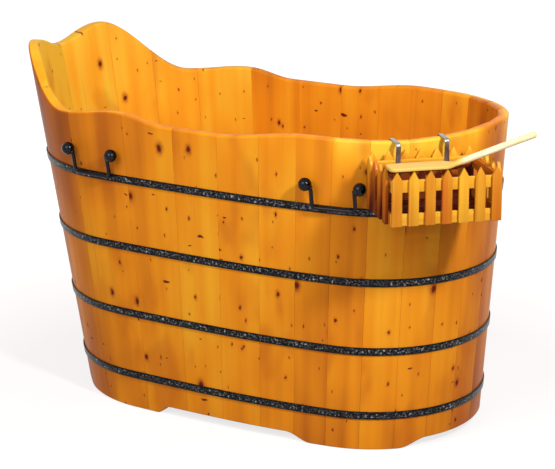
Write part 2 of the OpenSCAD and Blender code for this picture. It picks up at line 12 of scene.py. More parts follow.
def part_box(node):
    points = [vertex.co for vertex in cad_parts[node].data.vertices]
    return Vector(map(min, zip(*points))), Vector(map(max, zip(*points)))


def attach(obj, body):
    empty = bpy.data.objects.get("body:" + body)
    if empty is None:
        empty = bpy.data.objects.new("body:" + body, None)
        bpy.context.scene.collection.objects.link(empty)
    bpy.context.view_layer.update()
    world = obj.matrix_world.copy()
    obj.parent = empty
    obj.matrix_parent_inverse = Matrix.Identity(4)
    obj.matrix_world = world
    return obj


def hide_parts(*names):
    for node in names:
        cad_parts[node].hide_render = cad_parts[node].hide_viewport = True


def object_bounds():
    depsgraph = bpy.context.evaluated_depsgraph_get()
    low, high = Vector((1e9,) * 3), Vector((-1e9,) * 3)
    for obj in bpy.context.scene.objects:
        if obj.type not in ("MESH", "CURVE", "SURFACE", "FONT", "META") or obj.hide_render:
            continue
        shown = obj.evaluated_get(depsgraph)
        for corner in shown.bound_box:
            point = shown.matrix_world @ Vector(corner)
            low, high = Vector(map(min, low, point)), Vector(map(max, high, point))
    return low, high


bl_info = {
    "name": "Wooden Bathtub",
    "version": (1, 0, 0),
    "blender": (4, 5, 0),
    "location": "3D View > Sidebar > Bathtub",
    "description": "Builds a stave bathtub with hoops, hooks, basket and ladle round its frame",
    "category": "Add Mesh",
}

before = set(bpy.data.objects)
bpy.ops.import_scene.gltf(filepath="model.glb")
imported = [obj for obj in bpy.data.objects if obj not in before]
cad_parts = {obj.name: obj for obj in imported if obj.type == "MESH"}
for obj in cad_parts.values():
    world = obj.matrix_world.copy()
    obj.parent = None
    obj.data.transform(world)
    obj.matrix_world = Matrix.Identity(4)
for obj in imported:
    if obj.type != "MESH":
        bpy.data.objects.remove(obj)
CAD_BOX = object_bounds()
MM = 0.001
QUARTER_TURN = math.pi / 2
# Turns a place's Z axis to point out along its Y axis
Z_TO_Y = Matrix.Rotation(-QUARTER_TURN, 4, "X")


def middle(*nodes):
    """The middle of the box round some CAD nodes."""
    boxes = [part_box(node) for node in nodes]
    low = Vector(min(box[0][i] for box in boxes) for i in range(3))
    high = Vector(max(box[1][i] for box in boxes) for i in range(3))
    return (low + high) / 2


# The battens stand at equal distances from the tub's middle
TUB_MIDDLE = middle("batten_head", "batten_foot")
HOOP_HEIGHTS = [middle(f"hoop_{number}").z for number in (1, 2, 3, 4)]
FLOOR_LOW, FLOOR_HIGH = (corner.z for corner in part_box("floor_board_3"))
PICKET_FOOT, PICKET_TIP = (corner.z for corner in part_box("basket_front_pickets"))

# Stations run from 0 at the middle of the foot end to 1 at the middle of the head end
STAVE_EDGES = (
    0, 0.06, 0.115, 0.175, 0.235, 0.295, 0.355, 0.42,
    0.495, 0.57, 0.655, 0.755, 0.83, 0.90, 1,
)
STAVES_A_SIDE = len(STAVE_EDGES) - 1
BASKET_STATION = 0.16
HOOK_STATIONS = (0.2875, 0.7135)
PAD_STEP = 0.027
LAP_STATION = 0.44
FAR, NEAR = 1, -1

# How pale each board is, from the foot end to the head end; a middling board has 0.5
# Besides each board's own tone, the low outside tones at both ends are painted shade at the tub's
# edges
OUTSIDE_TONES = (-0.4, 0.5, 0.9, 0.95, 0.3, 0.05, 0.95, 0.8, 0.85, 0.65, 0.6, -0.2, -0.3, 0)
# The high inside tones at the head end are painted light
INSIDE_TONES = (0.3, 0.2, -0.1, -0.3, 0.5, 0.25, 0.75, 0.5, 0.6, 0.2, 1.4, 1.5, 1.6, 2.0)
# One board at the near side of the head end is paler still inside, as painted light
PAINTED_LIGHT_BOARD, PAINTED_LIGHT_BY = 28, 1.0
# How far apart two boards of the same tone may lie
STAVE_CHANCE, PICKET_CHANCE = 0.08, 0.45

# Wear and painted shade on the outer faces. Along the wall, a station where it ends and over how
# much it fades
RUBBED_FROM, RUBBED_TO, HEAD_SHADE_FROM = (0.01, 0.06), (0.31, 0.03), (0.50, 0.14)
# Up the wall, a distance under the rim, one under the top hoop, and a height over the ground
RUBBED_DEPTH, HEAD_SHADE_DEPTH, FOOT_SHADE_HEIGHT = (120 * MM, 70 * MM), (60 * MM, 80 * MM), 250 * MM
RUBBED_TONE = 2.5

# Tones of the basket's boards from their low end to their high end: darker low inside the
# basket as painted shade, and paler at the top and along the front as painted light
PICKET_TONES = {"front": (0.3, 0.6), "back": (-3.2, 1.4), "head": (-0.8, 0.4), "foot": (0.2, 0.6)}
BACK_RAIL_TONES = {"upper": (-1.2, 1.0), "lower": (-1.6, -1.6)}
FRONT_RAIL_TONES, END_RAIL_TONES, BOTTOM_TONES = (1.0, 1.2), (-0.3, -0.3), (-1.3, -1.3)

# Direction from the aim, distance and width of each square softbox
LAMPS = {"key": ((0.71, -0.39, 0.59), 3.4, 0.3), "fill": ((-0.07, -0.83, 0.55), 3.0, 1.6)}


# Sizes and colours of the panel


def entries(rows, read=float, prop=bpy.props.FloatProperty, **kind):
    """Panel entries from each one's default and description; its name comes from its key."""
    return {
        key: prop(
            name=key.replace("_", " ").capitalize(), description=words, default=read(value),
            **kind,
        )
        for key, (value, words) in rows.items()
    }


def lengths(**rows):
    """Panel entries for lengths given in millimetres."""
    return entries(rows, lambda value: value * MM, unit="LENGTH", subtype="DISTANCE")


def angles(**rows):
    """Panel entries for angles given in degrees."""
    return entries(rows, math.radians, unit="ROTATION", subtype="ANGLE")


def linear(hex_colour):
    """Turns an sRGB hex colour into the linear values that a shader takes."""
    channels = [int(hex_colour[i:i + 2], 16) / 255 for i in (1, 3, 5)]
    return [c / 12.92 if c <= 0.04045 else ((c + 0.055) / 1.055) ** 2.4 for c in channels]


def colours(**rows):
    """Panel entries for colours written as sRGB hex."""
    return entries(
        rows, linear, bpy.props.FloatVectorProperty, subtype="COLOR", size=3, min=0, max=1
    )


class TubSizes(bpy.types.PropertyGroup):
    """Sizes of the stave wall."""

    __annotations__ = lengths(
        half_length=(551, "Half length of the tub at the floor, outside"),
        half_width=(306, "Half width of the tub at the floor, outside"),
        lean_height=(790, "Height at which the leans are measured"),
        foot_lean=(56, "How far the foot end leans out"),
        head_lean=(149, "How far the head end leans out"),
        side_lean=(26, "How far each long side leans out"),
        foot_bow=(18, "Bow of the side past the foot end's radius"),
        head_bow=(8, "Bow of the side past the head end's radius"),
        wall=(25, "Thickness of a stave"),
        joint=(0.3, "Gap between two staves"),
        joint_round=(0.4, "Softened edge beside a joint"),
        rim_round=(7, "Rounding of the rim"),
        side_height=(773, "Height of the rim's low stretches"),
        foot_rise=(36, "Rise of the rim at the foot end"),
        shoulder_rise=(25, "Rise of the rim beside the foot end"),
        arm_rise=(20, "Rise of the rim where an arm lies"),
        crest_rise=(136, "Rise of the crests at the head end"),
        neck_rise=(100, "Rise of the dip between the crests"),
        arch_height=(22, "Height of the arches between the feet"),
        groove=(8, "Depth of the groove that holds the floor"),
    ) | entries({
        "worn_rim": (0.95, "How pale the wood is just under the rim"),
        "dark_head": (0.9, "How much darker the head end is above the top hoop"),
        "damp_foot": (0.5, "How much darker the wood is at the floor"),
    })


class FittingSizes(bpy.types.PropertyGroup):
    """Sizes of the hoops, hooks, basket, ladle and floor edges."""

    __annotations__ = lengths(
        hoop_height=(20, "Height of a hoop"),
        hoop_thickness=(3.5, "Thickness of a hoop"),
        fit=(0.3, "Gap between pieces that touch"),
        dent=(0.45, "Depth of the hammer dents in a hoop"),
        dent_size=(11, "Width of a hammer dent"),
        rod=(10, "Diameter of the hook rod"),
        hook_span=(111, "Distance between a hook's two arms"),
        arm=(44, "Height at which the straight part of an arm ends"),
        foot_bend=(10, "Radius of the bends at the foot of the arms"),
        top_bend=(14, "Radius of the bends under the balls"),
        ball=(33, "Diameter of the balls"),
        ball_reach=(10, "Distance from a bend to its ball's middle"),
        hook_rise=(4, "Height of the rod above the hoop's middle"),
        hook_stand=(9, "Distance of the rod's middle from the hoop"),
        pad=(15, "Diameter of the pads that carry the rod"),
        picket_pitch=(40, "Distance between two pickets"),
        picket_width=(24, "Width of a picket"),
        slat=(8, "Thickness of pickets and rails"),
        picket_point=(22, "Height of a picket's point"),
        basket_depth=(210, "Depth of the basket outside"),
        rail=(28, "Height of a rail"),
        basket_gap=(4, "Clearance between basket and wall at the rim"),
        slat_edge=(1.1, "Sanded edge of the basket's slats"),
        bottom_slat=(28, "Width of a bottom slat"),
        strap_width=(12, "Width of the strap hooks"),
        strap=(2.5, "Thickness of the strap hooks"),
        strap_bend=(8, "Radius of the strap hooks' bends"),
        screw_head=(9, "Diameter of the strap hooks' screw heads"),
        lap_length=(64, "Length of the plate that joins a hoop's ends"),
        lap=(3, "Thickness of that plate"),
        rivet_head=(11, "Diameter of the rivet heads"),
        blade_length=(163, "Length of the ladle's blade"),
        blade_width=(54, "Width of the ladle's blade"),
        blade=(8, "Thickness of the ladle's blade"),
        blade_corner=(14, "Rounding of the blade's corners"),
        blade_over=(5, "Reach of the blade past the front pickets' row"),
        blade_out=(2, "Reach of the blade past the basket's front"),
        neck=(26, "Length of blade over which it narrows to the handle"),
        handle=(16, "Diameter of the ladle's handle"),
        handle_length=(200, "Length of the ladle's handle"),
        board_edge=(1.5, "Rounded edge of floor boards and battens"),
    ) | angles(
        handle_slope=(17, "Slope of the ladle's handle"),
    )


class Finishes(bpy.types.PropertyGroup):
    """Colours of the woods and metals."""

    __annotations__ = colours(
        # The darkest stave colours also show the painted shade at the ends and foot, and stave_pale
        # the painted light inside the head end
        stave_deep=("#8e4715", "Darkest heartwood of the staves"),
        stave_dark=("#bf691a", "Late wood of the staves under lacquer"),
        stave_mid=("#e78e1b", "Body colour of the staves"),
        stave_light=("#f2ab28", "Early wood of the staves"),
        stave_pale=("#efc13a", "Wood under the rim, rubbed pale"),
        stain=("#b85a1a", "Reddish heartwood patches"),
        knot=("#64200c", "Heart of a knot"),
        # Painted shade: the darkest slat colour stands for the shade inside the basket, and the
        # paler slat colours for painted light at the top and front
        slat_deep=("#521d14", "Wood inside the basket, darkened by water"),
        slat_dark=("#c0661a", "Late wood of the basket"),
        slat_mid=("#d29126", "Body colour of the basket"),
        slat_light=("#e9ae30", "Early wood of the basket"),
        slat_pale=("#eebb4e", "Palest slats of the basket"),
        ladle_dark=("#e2c184", "Grain of the ladle"),
        ladle_light=("#eedab2", "Body colour of the ladle"),
        ladle_worn=("#dbb046", "Wood of the blade, yellowed by water"),
        iron_dark=("#0b0c0f", "Scale left in the hoops' dents and edges"),
        iron_light=("#a3a6ab", "Rubbed tops of the hoops' dents"),
        gunmetal=("#26272b", "Body colour of the hook balls"),
        chrome=("#a39d9a", "Plating of the strap hooks"),
        steel=("#b4b6b8", "Brushed steel of the drain"),
        rubber=("#232325", "Rubber of the stopper"),
        floor=("#8f8f8e", "Grey studio floor, lifted to white for the eye"),
    )


class Studio(bpy.types.PropertyGroup):
    """Camera and lamps."""

    __annotations__ = angles(
        azimuth=(30.33, "Camera's turn round the tub"),
        elevation=(16.31, "Camera's height angle"),
    ) | lengths(
        distance=(5746, "Camera's distance from its aim"),
        aim_ahead=(-12, "Aim's place along the tub from its middle"),
        aim_height=(433, "Aim's height"),
    ) | entries(
        {"lens": (142.4, "Focal length on a 36 mm sensor")}, subtype="DISTANCE_CAMERA"
    ) | entries(
        {"key_power": (74, "Power of the key lamp"), "fill_power": (37, "Power of the fill lamp")},
        unit="POWER",
    ) | entries({
        "ambience": (0.45, "Strength of the room's light"),
        "floor_lift": (0.76, "Light added to the floor where it is seen"),
    }) | colours(
        room=("#ffe6e1", "Warm tint of the room's light"),
    )


# Shape of the wall


def eased(share):
    return (1 - math.cos(math.pi * share)) / 2


def faded(distance, over):
    """Zero behind a line, one some way past it."""
    return eased(min(1, max(0, distance / over)))


def mix(a, b, share):
    return a + (b - a) * share


class Wall:
    """The leaning oval wall. A quarter of its plan is an end arc that runs into a side arc."""

    def __init__(self, sizes):
        self.s = sizes
        low, high = sizes.side_height, sizes.arch_height
        self.rim_marks = (
            (0, low + sizes.foot_rise), (0.22, low + sizes.shoulder_rise),
            (0.34, low + sizes.shoulder_rise), (0.50, low), (0.585, low),
            (0.663, low + sizes.arm_rise), (0.775, low), (0.91, low + sizes.crest_rise),
            (1, low + sizes.neck_rise),
        )
        self.arch_marks = (
            (0, high), (0.11, high), (0.166, 0), (0.323, 0), (0.372, high),
            (0.609, high), (0.637, 0), (0.82, 0), (0.874, high), (1, high),
        )

    @staticmethod
    def marked(marks, t):
        """Height of a line that eases from mark to mark."""
        for (t0, z0), (t1, z1) in zip(marks, marks[1:]):
            if t <= t1:
                return mix(z0, z1, eased((t - t0) / (t1 - t0)))
        return marks[-1][1]

    def rim(self, t):
        return self.marked(self.rim_marks, t)

    def arch(self, t):
        return self.marked(self.arch_marks, t)

    @staticmethod
    def quarter(half_length, half_width, bow, u):
        """Point and normal angle of a quarter plan; u is 0 at the end, 1 at the side's middle."""
        end_radius = half_width - bow
        side_radius = (
            (half_length - end_radius) ** 2 + half_width ** 2 - end_radius ** 2
        ) / (2 * bow)
        turn = math.atan2(side_radius - half_width, half_length - end_radius)
        end_arc = end_radius * turn
        along = u * (end_arc + side_radius * (QUARTER_TURN - turn))
        if along < end_arc:
            angle = along / end_radius
            centre = Vector((half_length - end_radius, 0))
            radius = end_radius
        else:
            angle = turn + (along - end_arc) / side_radius
            centre = Vector((0, half_width - side_radius))
            radius = side_radius
        return centre + radius * Vector((math.cos(angle), math.sin(angle))), angle

    def plan(self, t, level):
        """Plan point at a share of the lean height, with its normal, on the far half."""
        s = self.s
        if t <= 0.5:
            ends, lean, bow, u = 1, s.foot_lean, s.foot_bow, 2 * t
        else:
            ends, lean, bow, u = -1, s.head_lean, s.head_bow, 2 * (1 - t)
        point, angle = self.quarter(
            s.half_length + level * lean, s.half_width + level * s.side_lean, bow, min(1, u)
        )
        return Vector((ends * point.x, point.y)), Vector((ends * math.cos(angle), math.sin(angle)))

    def normal(self, t):
        return self.plan(t, 0.5)[1]

    def point(self, t, z, side=FAR, depth=0.0, along=0.0):
        """A point some depth inside the outer face and some way along it."""
        low, high = self.plan(t, 0)[0], self.plan(t, 1)[0]
        n = self.normal(t)
        p = low + (high - low) * z / self.s.lean_height - n * depth + Vector((-n.y, n.x)) * along
        return Vector((p.x + TUB_MIDDLE.x, side * p.y + TUB_MIDDLE.y, z))

    def frame_at(self, t, z, out, side=FAR):
        """A frame at the wall with Y straight out of it and Z up."""
        n = self.normal(t)
        n = Vector((n.x, side * n.y, 0))
        x_axis = Vector((n.y, -n.x, 0)) * side
        turned = Matrix((x_axis, n, Vector((0, 0, 1)))).transposed().to_4x4()
        return Matrix.Translation(self.point(t, z, side, -out)) @ turned


# Meshes


class Timber:
    """Points and faces of one piece, with each point's place in its board and the board's tone.
    A piece's seed gives it a grain of its own."""

    def __init__(self, seed):
        self.points, self.faces, self.places, self.tones = [], [], [], []
        self.draw = random.Random(seed)

    def add(self, points, faces, places=None, tone=None):
        """Adds one board. Its places are shifted, so that no two boards share their grain."""
        shift = Vector([self.draw.uniform(0, 40) for _ in range(3)])
        tone = self.draw.random() if tone is None else tone
        first = len(self.points)
        self.points += points
        self.faces += [[first + corner for corner in face] for face in faces]
        self.places += [Vector(p) + shift for p in (places or points)]
        self.tones += tone if isinstance(tone, list) else [tone] * len(points)

    def ring_skin(self, rings, places=None, looped=False, tone=None):
        """A skin over rings of equally many points. Its ends are capped, or it is looped and
        its last ring joined to the first."""
        n = len(rings[0])
        faces = []
        for r in range(len(rings) if looped else len(rings) - 1):
            here, there = r * n, (r + 1) % len(rings) * n
            faces += [
                [here + k, here + (k + 1) % n, there + (k + 1) % n, there + k] for k in range(n)
            ]
        if not looped:
            faces += [list(range(n)), [(len(rings) - 1) * n + k for k in reversed(range(n))]]
        self.add([p for ring in rings for p in ring], faces, places, tone)

    def turned(self, place, profile, sides):
        """A skin turned about the Z axis of its place, from radius and height pairs."""
        self.ring_skin([
            [place @ Vector((x, y, z)) for x, y in circle(radius, sides)] for radius, z in profile
        ])

    def bent(self, place, path, section):
        """A bar bent along a path of spots and headings in the XZ plane of its place. Its
        section's pairs are a reach across the path and one along Y."""
        rings = []
        for spot, heading in path:
            way = math.radians(heading)
            rings.append([
                place @ Vector((spot.x - out * math.sin(way), y, spot.y + out * math.cos(way)))
                for out, y in section
            ])
        self.ring_skin(rings)

    def board(self, place, outline, thickness, edge, tones, grain="Z"):
        """A flat board with rounded edges. Its outline lies in the XZ plane of its place, and
        its tones run from its low end to its high end."""
        bm = bmesh.new()
        face = bm.faces.new([bm.verts.new((x, 0, z)) for x, z in outline])
        moved = bmesh.ops.extrude_face_region(bm, geom=[face])["geom"]
        bmesh.ops.translate(
            bm, vec=(0, thickness, 0), verts=[v for v in moved if isinstance(v, bmesh.types.BMVert)]
        )
        bmesh.ops.bevel(
            bm, geom=bm.edges[:], offset=edge, segments=3, profile=0.5, affect="EDGES"
        )
        bmesh.ops.recalc_face_normals(bm, faces=bm.faces)
        bm.verts.index_update()
        local = [v.co.copy() for v in bm.verts]
        faces = [[v.index for v in f.verts] for f in bm.faces]
        bm.free()
        places = [Vector((p.z, p.y, p.x)) for p in local] if grain == "X" else local
        tall = max(z for _, z in outline)
        tone = [mix(*tones, p.z / tall) for p in local]
        self.add([place @ p for p in local], faces, places, tone)

    def piece(self, name, material, body, slot, replaced, sharp=32):
        """Makes the object, smooth but for edges sharper than an angle, and rides it on a body."""
        mesh = bpy.data.meshes.new(name)
        mesh.from_pydata(self.points, [], self.faces)
        bm = bmesh.new()
        bm.from_mesh(mesh)
        bmesh.ops.recalc_face_normals(bm, faces=bm.faces)
        for face in bm.faces:
            face.smooth = True
        limit = math.radians(sharp)
        for edge in bm.edges:
            edge.smooth = len(edge.link_faces) == 2 and edge.calc_face_angle(0) < limit
        bm.to_mesh(mesh)
        bm.free()
        place = mesh.attributes.new("wood_place", "FLOAT_VECTOR", "POINT")
        place.data.foreach_set("vector", [c for p in self.places for c in p])
        tone = mesh.attributes.new("board_tone", "FLOAT", "POINT")
        tone.data.foreach_set("value", self.tones)
        mesh.materials.append(material)
        made = bpy.data.objects.new(name, mesh)
        bpy.context.scene.collection.objects.link(made)
        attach(made, body)
        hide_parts(replaced)


def circle(radius, sides):
    """Pairs of places round a circle."""
    turns = [4 * QUARTER_TURN * k / sides for k in range(sides)]
    return [(radius * math.cos(a), radius * math.sin(a)) for a in turns]


def arc(centre, radius, start, end, steps):
    """Points on an arc in a plane, from a start angle to an end angle in degrees."""
    turns = [math.radians(mix(start, end, k / steps)) for k in range(steps + 1)]
    x, y = centre
    return [Vector((x + radius * math.cos(a), y + radius * math.sin(a))) for a in turns]


def bend(centre, radius, start, end, steps=8):
    """Spots and headings round a bend of a rod or bar, with the angles in degrees."""
    ahead = math.copysign(90, end - start)
    spots = arc(centre, radius, start, end, steps)
    return [(spot, mix(start, end, k / steps) + ahead) for k, spot in enumerate(spots)]


# Materials


def put(tree, kind, inputs=None, stops=None, **settings):
    """Adds a node, with its settings, its colour stops, and values or links for its inputs. A
    node among the inputs links its first output."""
    made = tree.nodes.new(f"ShaderNode{kind}")
    for name, value in settings.items():
        setattr(made, name, value)
    for key, value in (inputs or {}).items():
        if isinstance(value, bpy.types.Node):
            value = value.outputs[0]
        if isinstance(value, bpy.types.NodeSocket):
            tree.links.new(value, made.inputs[key])
        else:
            made.inputs[key].default_value = value
    if stops:
        ramp = made.color_ramp
        while len(ramp.elements) < len(stops):
            ramp.elements.new(1)
        for element, (place, value) in zip(ramp.elements, stops):
            element.position = place
            element.color = (*value, 1)
    return made


def mixed(a, b, share):
    """A colour between two linear colours."""
    return [mix(x, y, share) for x, y in zip(a, b)]


def darker(tint, share):
    return mixed(tint, (0, 0, 0), share)


def blank(name):
    """A new material with its empty node tree."""
    made = bpy.data.materials.new(name)
    made.use_nodes = True
    made.node_tree.nodes.clear()
    return made, made.node_tree


def surfaced(made, height, strength, depth, sockets):
    """Ends a material with its relief, its shader and its output."""
    tree = made.node_tree
    relief = put(tree, "Bump", {"Height": height, "Strength": strength, "Distance": depth})
    shader = put(tree, "BsdfPrincipled", {**sockets, "Normal": relief})
    put(tree, "OutputMaterial", {"Surface": shader})
    return made


def wood_axes(tree, along=None):
    """Where a point lies in its board, with the grain along the third axis, and the board's tone.
    A piece carries both; a CAD board has its grain along X or Y of the set."""
    if not along:
        place = put(tree, "Attribute", attribute_name="wood_place").outputs["Vector"]
        return place, put(tree, "Attribute", attribute_name="board_tone").outputs["Fac"]
    axes = put(tree, "SeparateXYZ", {0: put(tree, "NewGeometry")}).outputs
    across = "Y" if along == "X" else "X"
    tone = put(tree, "ObjectInfo").outputs["Random"]
    # Each board's place is moved by up to 7 m, so that no two boards share their grain
    apart = put(tree, "Math", {0: tone, 1: 7.0, 2: axes["Z"]}, operation="MULTIPLY_ADD")
    return put(tree, "CombineXYZ", {0: axes[across], 1: apart, 2: axes[along]}), tone


def grain(tree, place, sizes, detail=2.0, roughness=0.5, distortion=0.0):
    """A noise whose features have a real size along each axis; a board's grain runs along Z."""
    scaled = put(
        tree, "VectorMath", {0: place, 1: [1 / size for size in sizes]}, operation="MULTIPLY"
    )
    return put(tree, "TexNoise", {
        "Vector": scaled, "Scale": 1.0, "Detail": detail, "Roughness": roughness,
        "Distortion": distortion,
    })


def laid_over(tree, body, tint, mask, low, high, start, end, lots=()):
    """Lays a tint over a body colour. Its share runs from start to end while the mask runs from
    low to high, and is multiplied by each lot. Gives the new colour and the share."""
    share = put(
        tree, "MapRange",
        {"Value": mask, "From Min": low, "From Max": high, "To Min": start, "To Max": end},
        interpolation_type="SMOOTHSTEP",
    )
    for lot in lots:
        share = put(tree, "Math", {0: share, 1: lot}, operation="MULTIPLY")
    body = put(tree, "Mix", {"Factor": share, 6: body, 7: (*tint, 1)}, data_type="RGBA")
    return body.outputs[2], share


def lacquered_wood(
    name, shades, stain, knot, along=None, band=42 * MM, tone_share=0.22, knots=True
):
    """Softwood boards planed, then sprayed with clear lacquer: soft stripes of early and late
    wood along the board, small red-brown knots, and a smooth coat that gives mild highlights."""
    made, tree = blank(name)
    place, tone = wood_axes(tree, along)
    # Stripes about as wide as a sawn board's ring pattern, and longer than the board
    stripes = grain(tree, place, (band, band, 1500 * MM), 1.0)
    # Growth rings are 1 to 3 mm apart; drawn at 6 mm so that they show at this distance
    rings = grain(tree, place, (6 * MM, 6 * MM, 260 * MM), 3.0, 0.6, 0.4)
    # Paler and darker stretches, a hand wide and two hands long
    blotches = grain(tree, place, (130 * MM, 130 * MM, 250 * MM), 1.0)
    # Each layer's share of the shade. All layers lie about 0.5, where the shade is the body colour
    layers = ((stripes, 0.42), (rings, 0.07), (blotches, 0.55))
    middling = 0.56 - (tone_share + sum(share for _, share in layers)) / 2
    shade = put(tree, "Math", {0: tone, 1: tone_share, 2: middling}, operation="MULTIPLY_ADD")
    for layer, share in layers:
        shade = put(tree, "Math", {0: layer, 1: share, 2: shade}, operation="MULTIPLY_ADD")
    stops = list(zip((0.04, 0.30, 0.56, 0.80, 0.96), shades))
    body = put(tree, "ValToRGB", {"Fac": shade}, stops)
    # Heartwood patches, and fine drying cracks drawn 5 mm wide so that they show
    patches = grain(tree, place, (110 * MM, 110 * MM, 210 * MM), 2.0, 0.5, 0.2)
    cracks = grain(tree, place, (5 * MM, 5 * MM, 420 * MM), 1.0)
    body, _ = laid_over(tree, body, stain, patches, low=0.54, high=0.74, start=0.0, end=0.45)
    body, _ = laid_over(tree, body, knot, cracks, low=0.70, high=0.76, start=0.0, end=0.12)
    height = rings
    if knots:
        body, hollow = knotted(tree, place, body, knot, stain)
        height = put(tree, "Math", {0: hollow, 1: -2.5, 2: rings}, operation="MULTIPLY_ADD")
    return surfaced(made, height, 0.35, 0.12 * MM, {
        "Base Color": body, "IOR": 1.5, "Specular IOR Level": 0.04,
        "Roughness": put(tree, "MapRange", {"Value": rings, "To Min": 0.32, "To Max": 0.44}),
        "Coat Weight": 0.05, "Coat Roughness": 0.1, "Coat IOR": 1.5,
    })


def knotted(tree, place, body, knot, halo):
    """Adds knots, pin knots and short resin dashes. Gives the colour and a mask of the knots."""
    # Knots aren't quite round: their outlines waver by some 3 mm
    waver = grain(tree, place, 3 * [11 * MM]).outputs["Color"]
    place = put(tree, "VectorMath", {0: waver, 1: 3 * [9 * MM], 2: place}, operation="MULTIPLY_ADD")
    mask = 0.0
    # Width and length of a cell, radius of a mark in cells, share of cells that hold one,
    # darkness of the stain round it, and darkness of a ring round it
    for width, run, radius, share, stain, ring in (
        (105 * MM, 150 * MM, 0.044, 0.42, 0.60, 0.30),  # knots
        (46 * MM, 80 * MM, 0.046, 0.42, 0.50, 0.0),  # pin knots
        (190 * MM, 62 * MM, 0.040, 0.22, 0.0, 0.0),  # resin dashes
    ):
        flat = put(
            tree, "VectorMath", {0: place, 1: (1 / width, 0.0, 1 / run)}, operation="MULTIPLY"
        )
        turned = put(tree, "Mapping", {"Vector": flat, "Rotation": (QUARTER_TURN, 0.0, 0.0)})
        cells = put(
            tree, "TexVoronoi", {"Vector": turned, "Scale": 1.0}, voronoi_dimensions="2D"
        )
        lot = put(tree, "SeparateColor", {"Color": cells.outputs["Color"]}).outputs
        chosen = put(tree, "Math", {0: lot["Red"], 1: share}, operation="LESS_THAN")
        # Most knots are small and a few are large
        rare = put(tree, "Math", {0: lot["Green"], 1: 2.5}, operation="POWER")
        size = put(
            tree, "MapRange", {"Value": rare, "To Min": 0.6 * radius, "To Max": 1.6 * radius}
        )
        reach = put(tree, "Math", {0: cells, 1: size}, operation="DIVIDE")
        # Where a mark lies, from its middle out in radii: the stain, the ring, the heart
        for inner, outer, strength, tint, lots in (
            (0.8, 3.0, stain, halo, [chosen]), (1.25, 1.9, ring, knot, [chosen, rare]),
            (0.6, 1.25, 1.0, knot, [chosen]),
        ):
            if strength:
                body, held = laid_over(tree, body, tint, reach, inner, outer, strength, 0.0, lots)
        mask = put(tree, "Math", {0: mask, 1: held}, operation="MAXIMUM")
    return body, mask


def raw_sanded_wood(name, dark, light, worn):
    """Pale hardwood turned and sanded, with no lacquer: faint long grain, a dry surface, and
    a warmer tone where the tone of the piece says that water has yellowed it."""
    made, tree = blank(name)
    place, wet = wood_axes(tree)
    # Fibres are under a millimetre apart; drawn at 3 mm so that they show
    fibres = grain(tree, place, (3 * MM, 3 * MM, 90 * MM), 3.0, 0.55, 0.3)
    dry_body = put(tree, "ValToRGB", {"Fac": fibres}, [(0.30, dark), (0.62, light)])
    wet_body = put(
        tree, "ValToRGB", {"Fac": fibres}, [(0.25, mixed(worn, dark, 0.6)), (0.60, worn)]
    )
    body = put(tree, "Mix", {"Factor": wet, 6: dry_body, 7: wet_body}, data_type="RGBA").outputs[2]
    return surfaced(made, fibres, 0.3, 0.1 * MM, {
        "Base Color": body, "Roughness": 0.55, "IOR": 1.5, "Specular IOR Level": 0.3,
    })


def hammered_iron(name, dark, light):
    """Wrought iron, forged and blackened: dark scale in the dents, rubbed brighter between.
    The tone of the piece says where it is rubbed: a hoop's middle is, and its edges are not; their
    darkness is painted shade."""
    made, tree = blank(name)
    place = put(tree, "NewGeometry")
    # Hammer marks about 5 mm wide, and scale about 4 mm wide
    rubbed = put(tree, "TexVoronoi", {"Vector": place, "Scale": 1 / (5 * MM)})
    scale = grain(tree, place, 3 * [4 * MM], 2.0, 0.6)
    tone = put(tree, "Attribute", attribute_name="board_tone").outputs["Fac"]
    for share in (scale, put(tree, "MapRange", {"Value": tone, "To Min": 0.55, "To Max": 1.0})):
        rubbed = put(tree, "Math", {0: rubbed, 1: share}, operation="MULTIPLY")
    stops = [(0.18, dark), (0.38, mixed(dark, light, 0.13)), (0.56, light)]
    return surfaced(made, rubbed, 0.7, 0.5 * MM, {
        "Base Color": put(tree, "ValToRGB", {"Fac": rubbed}, stops), "Metallic": 0.9,
        "Roughness": put(tree, "MapRange", {"Value": scale, "To Min": 0.25, "To Max": 0.50}),
    })


def worked_metal(name, tint, smooth, wear, stretch=1.0):
    """Metal polished, plated or brushed: one tint with fine scratches that soften its shine.
    Brushing stretches the scratches along X."""
    made, tree = blank(name)
    # Polishing scratches are finer than a pixel; drawn at 1.5 mm
    sizes = (stretch * 1.5 * MM, 1.5 * MM, 1.5 * MM)
    scratches = grain(tree, put(tree, "NewGeometry"), sizes, 3.0, 0.6)
    stops = [(0.25, darker(tint, 0.25)), (0.65, tint)]
    rough = put(tree, "MapRange", {"Value": scratches, "To Min": smooth, "To Max": smooth + wear})
    return surfaced(made, scratches, 0.15, 0.05 * MM, {
        "Base Color": put(tree, "ValToRGB", {"Fac": scratches}, stops), "Metallic": 1.0,
        "Roughness": rough,
    })


def moulded_rubber(name, tint):
    """Black rubber moulded in a matt tool: a fine grain and a soft broad sheen."""
    made, tree = blank(name)
    pores = grain(tree, put(tree, "NewGeometry"), 3 * [1.2 * MM])
    stops = [(0.3, darker(tint, 0.3)), (0.7, tint)]
    return surfaced(made, pores, 0.25, 0.1 * MM, {
        "Base Color": put(tree, "ValToRGB", {"Fac": pores}, stops), "Roughness": 0.6, "IOR": 1.52,
    })


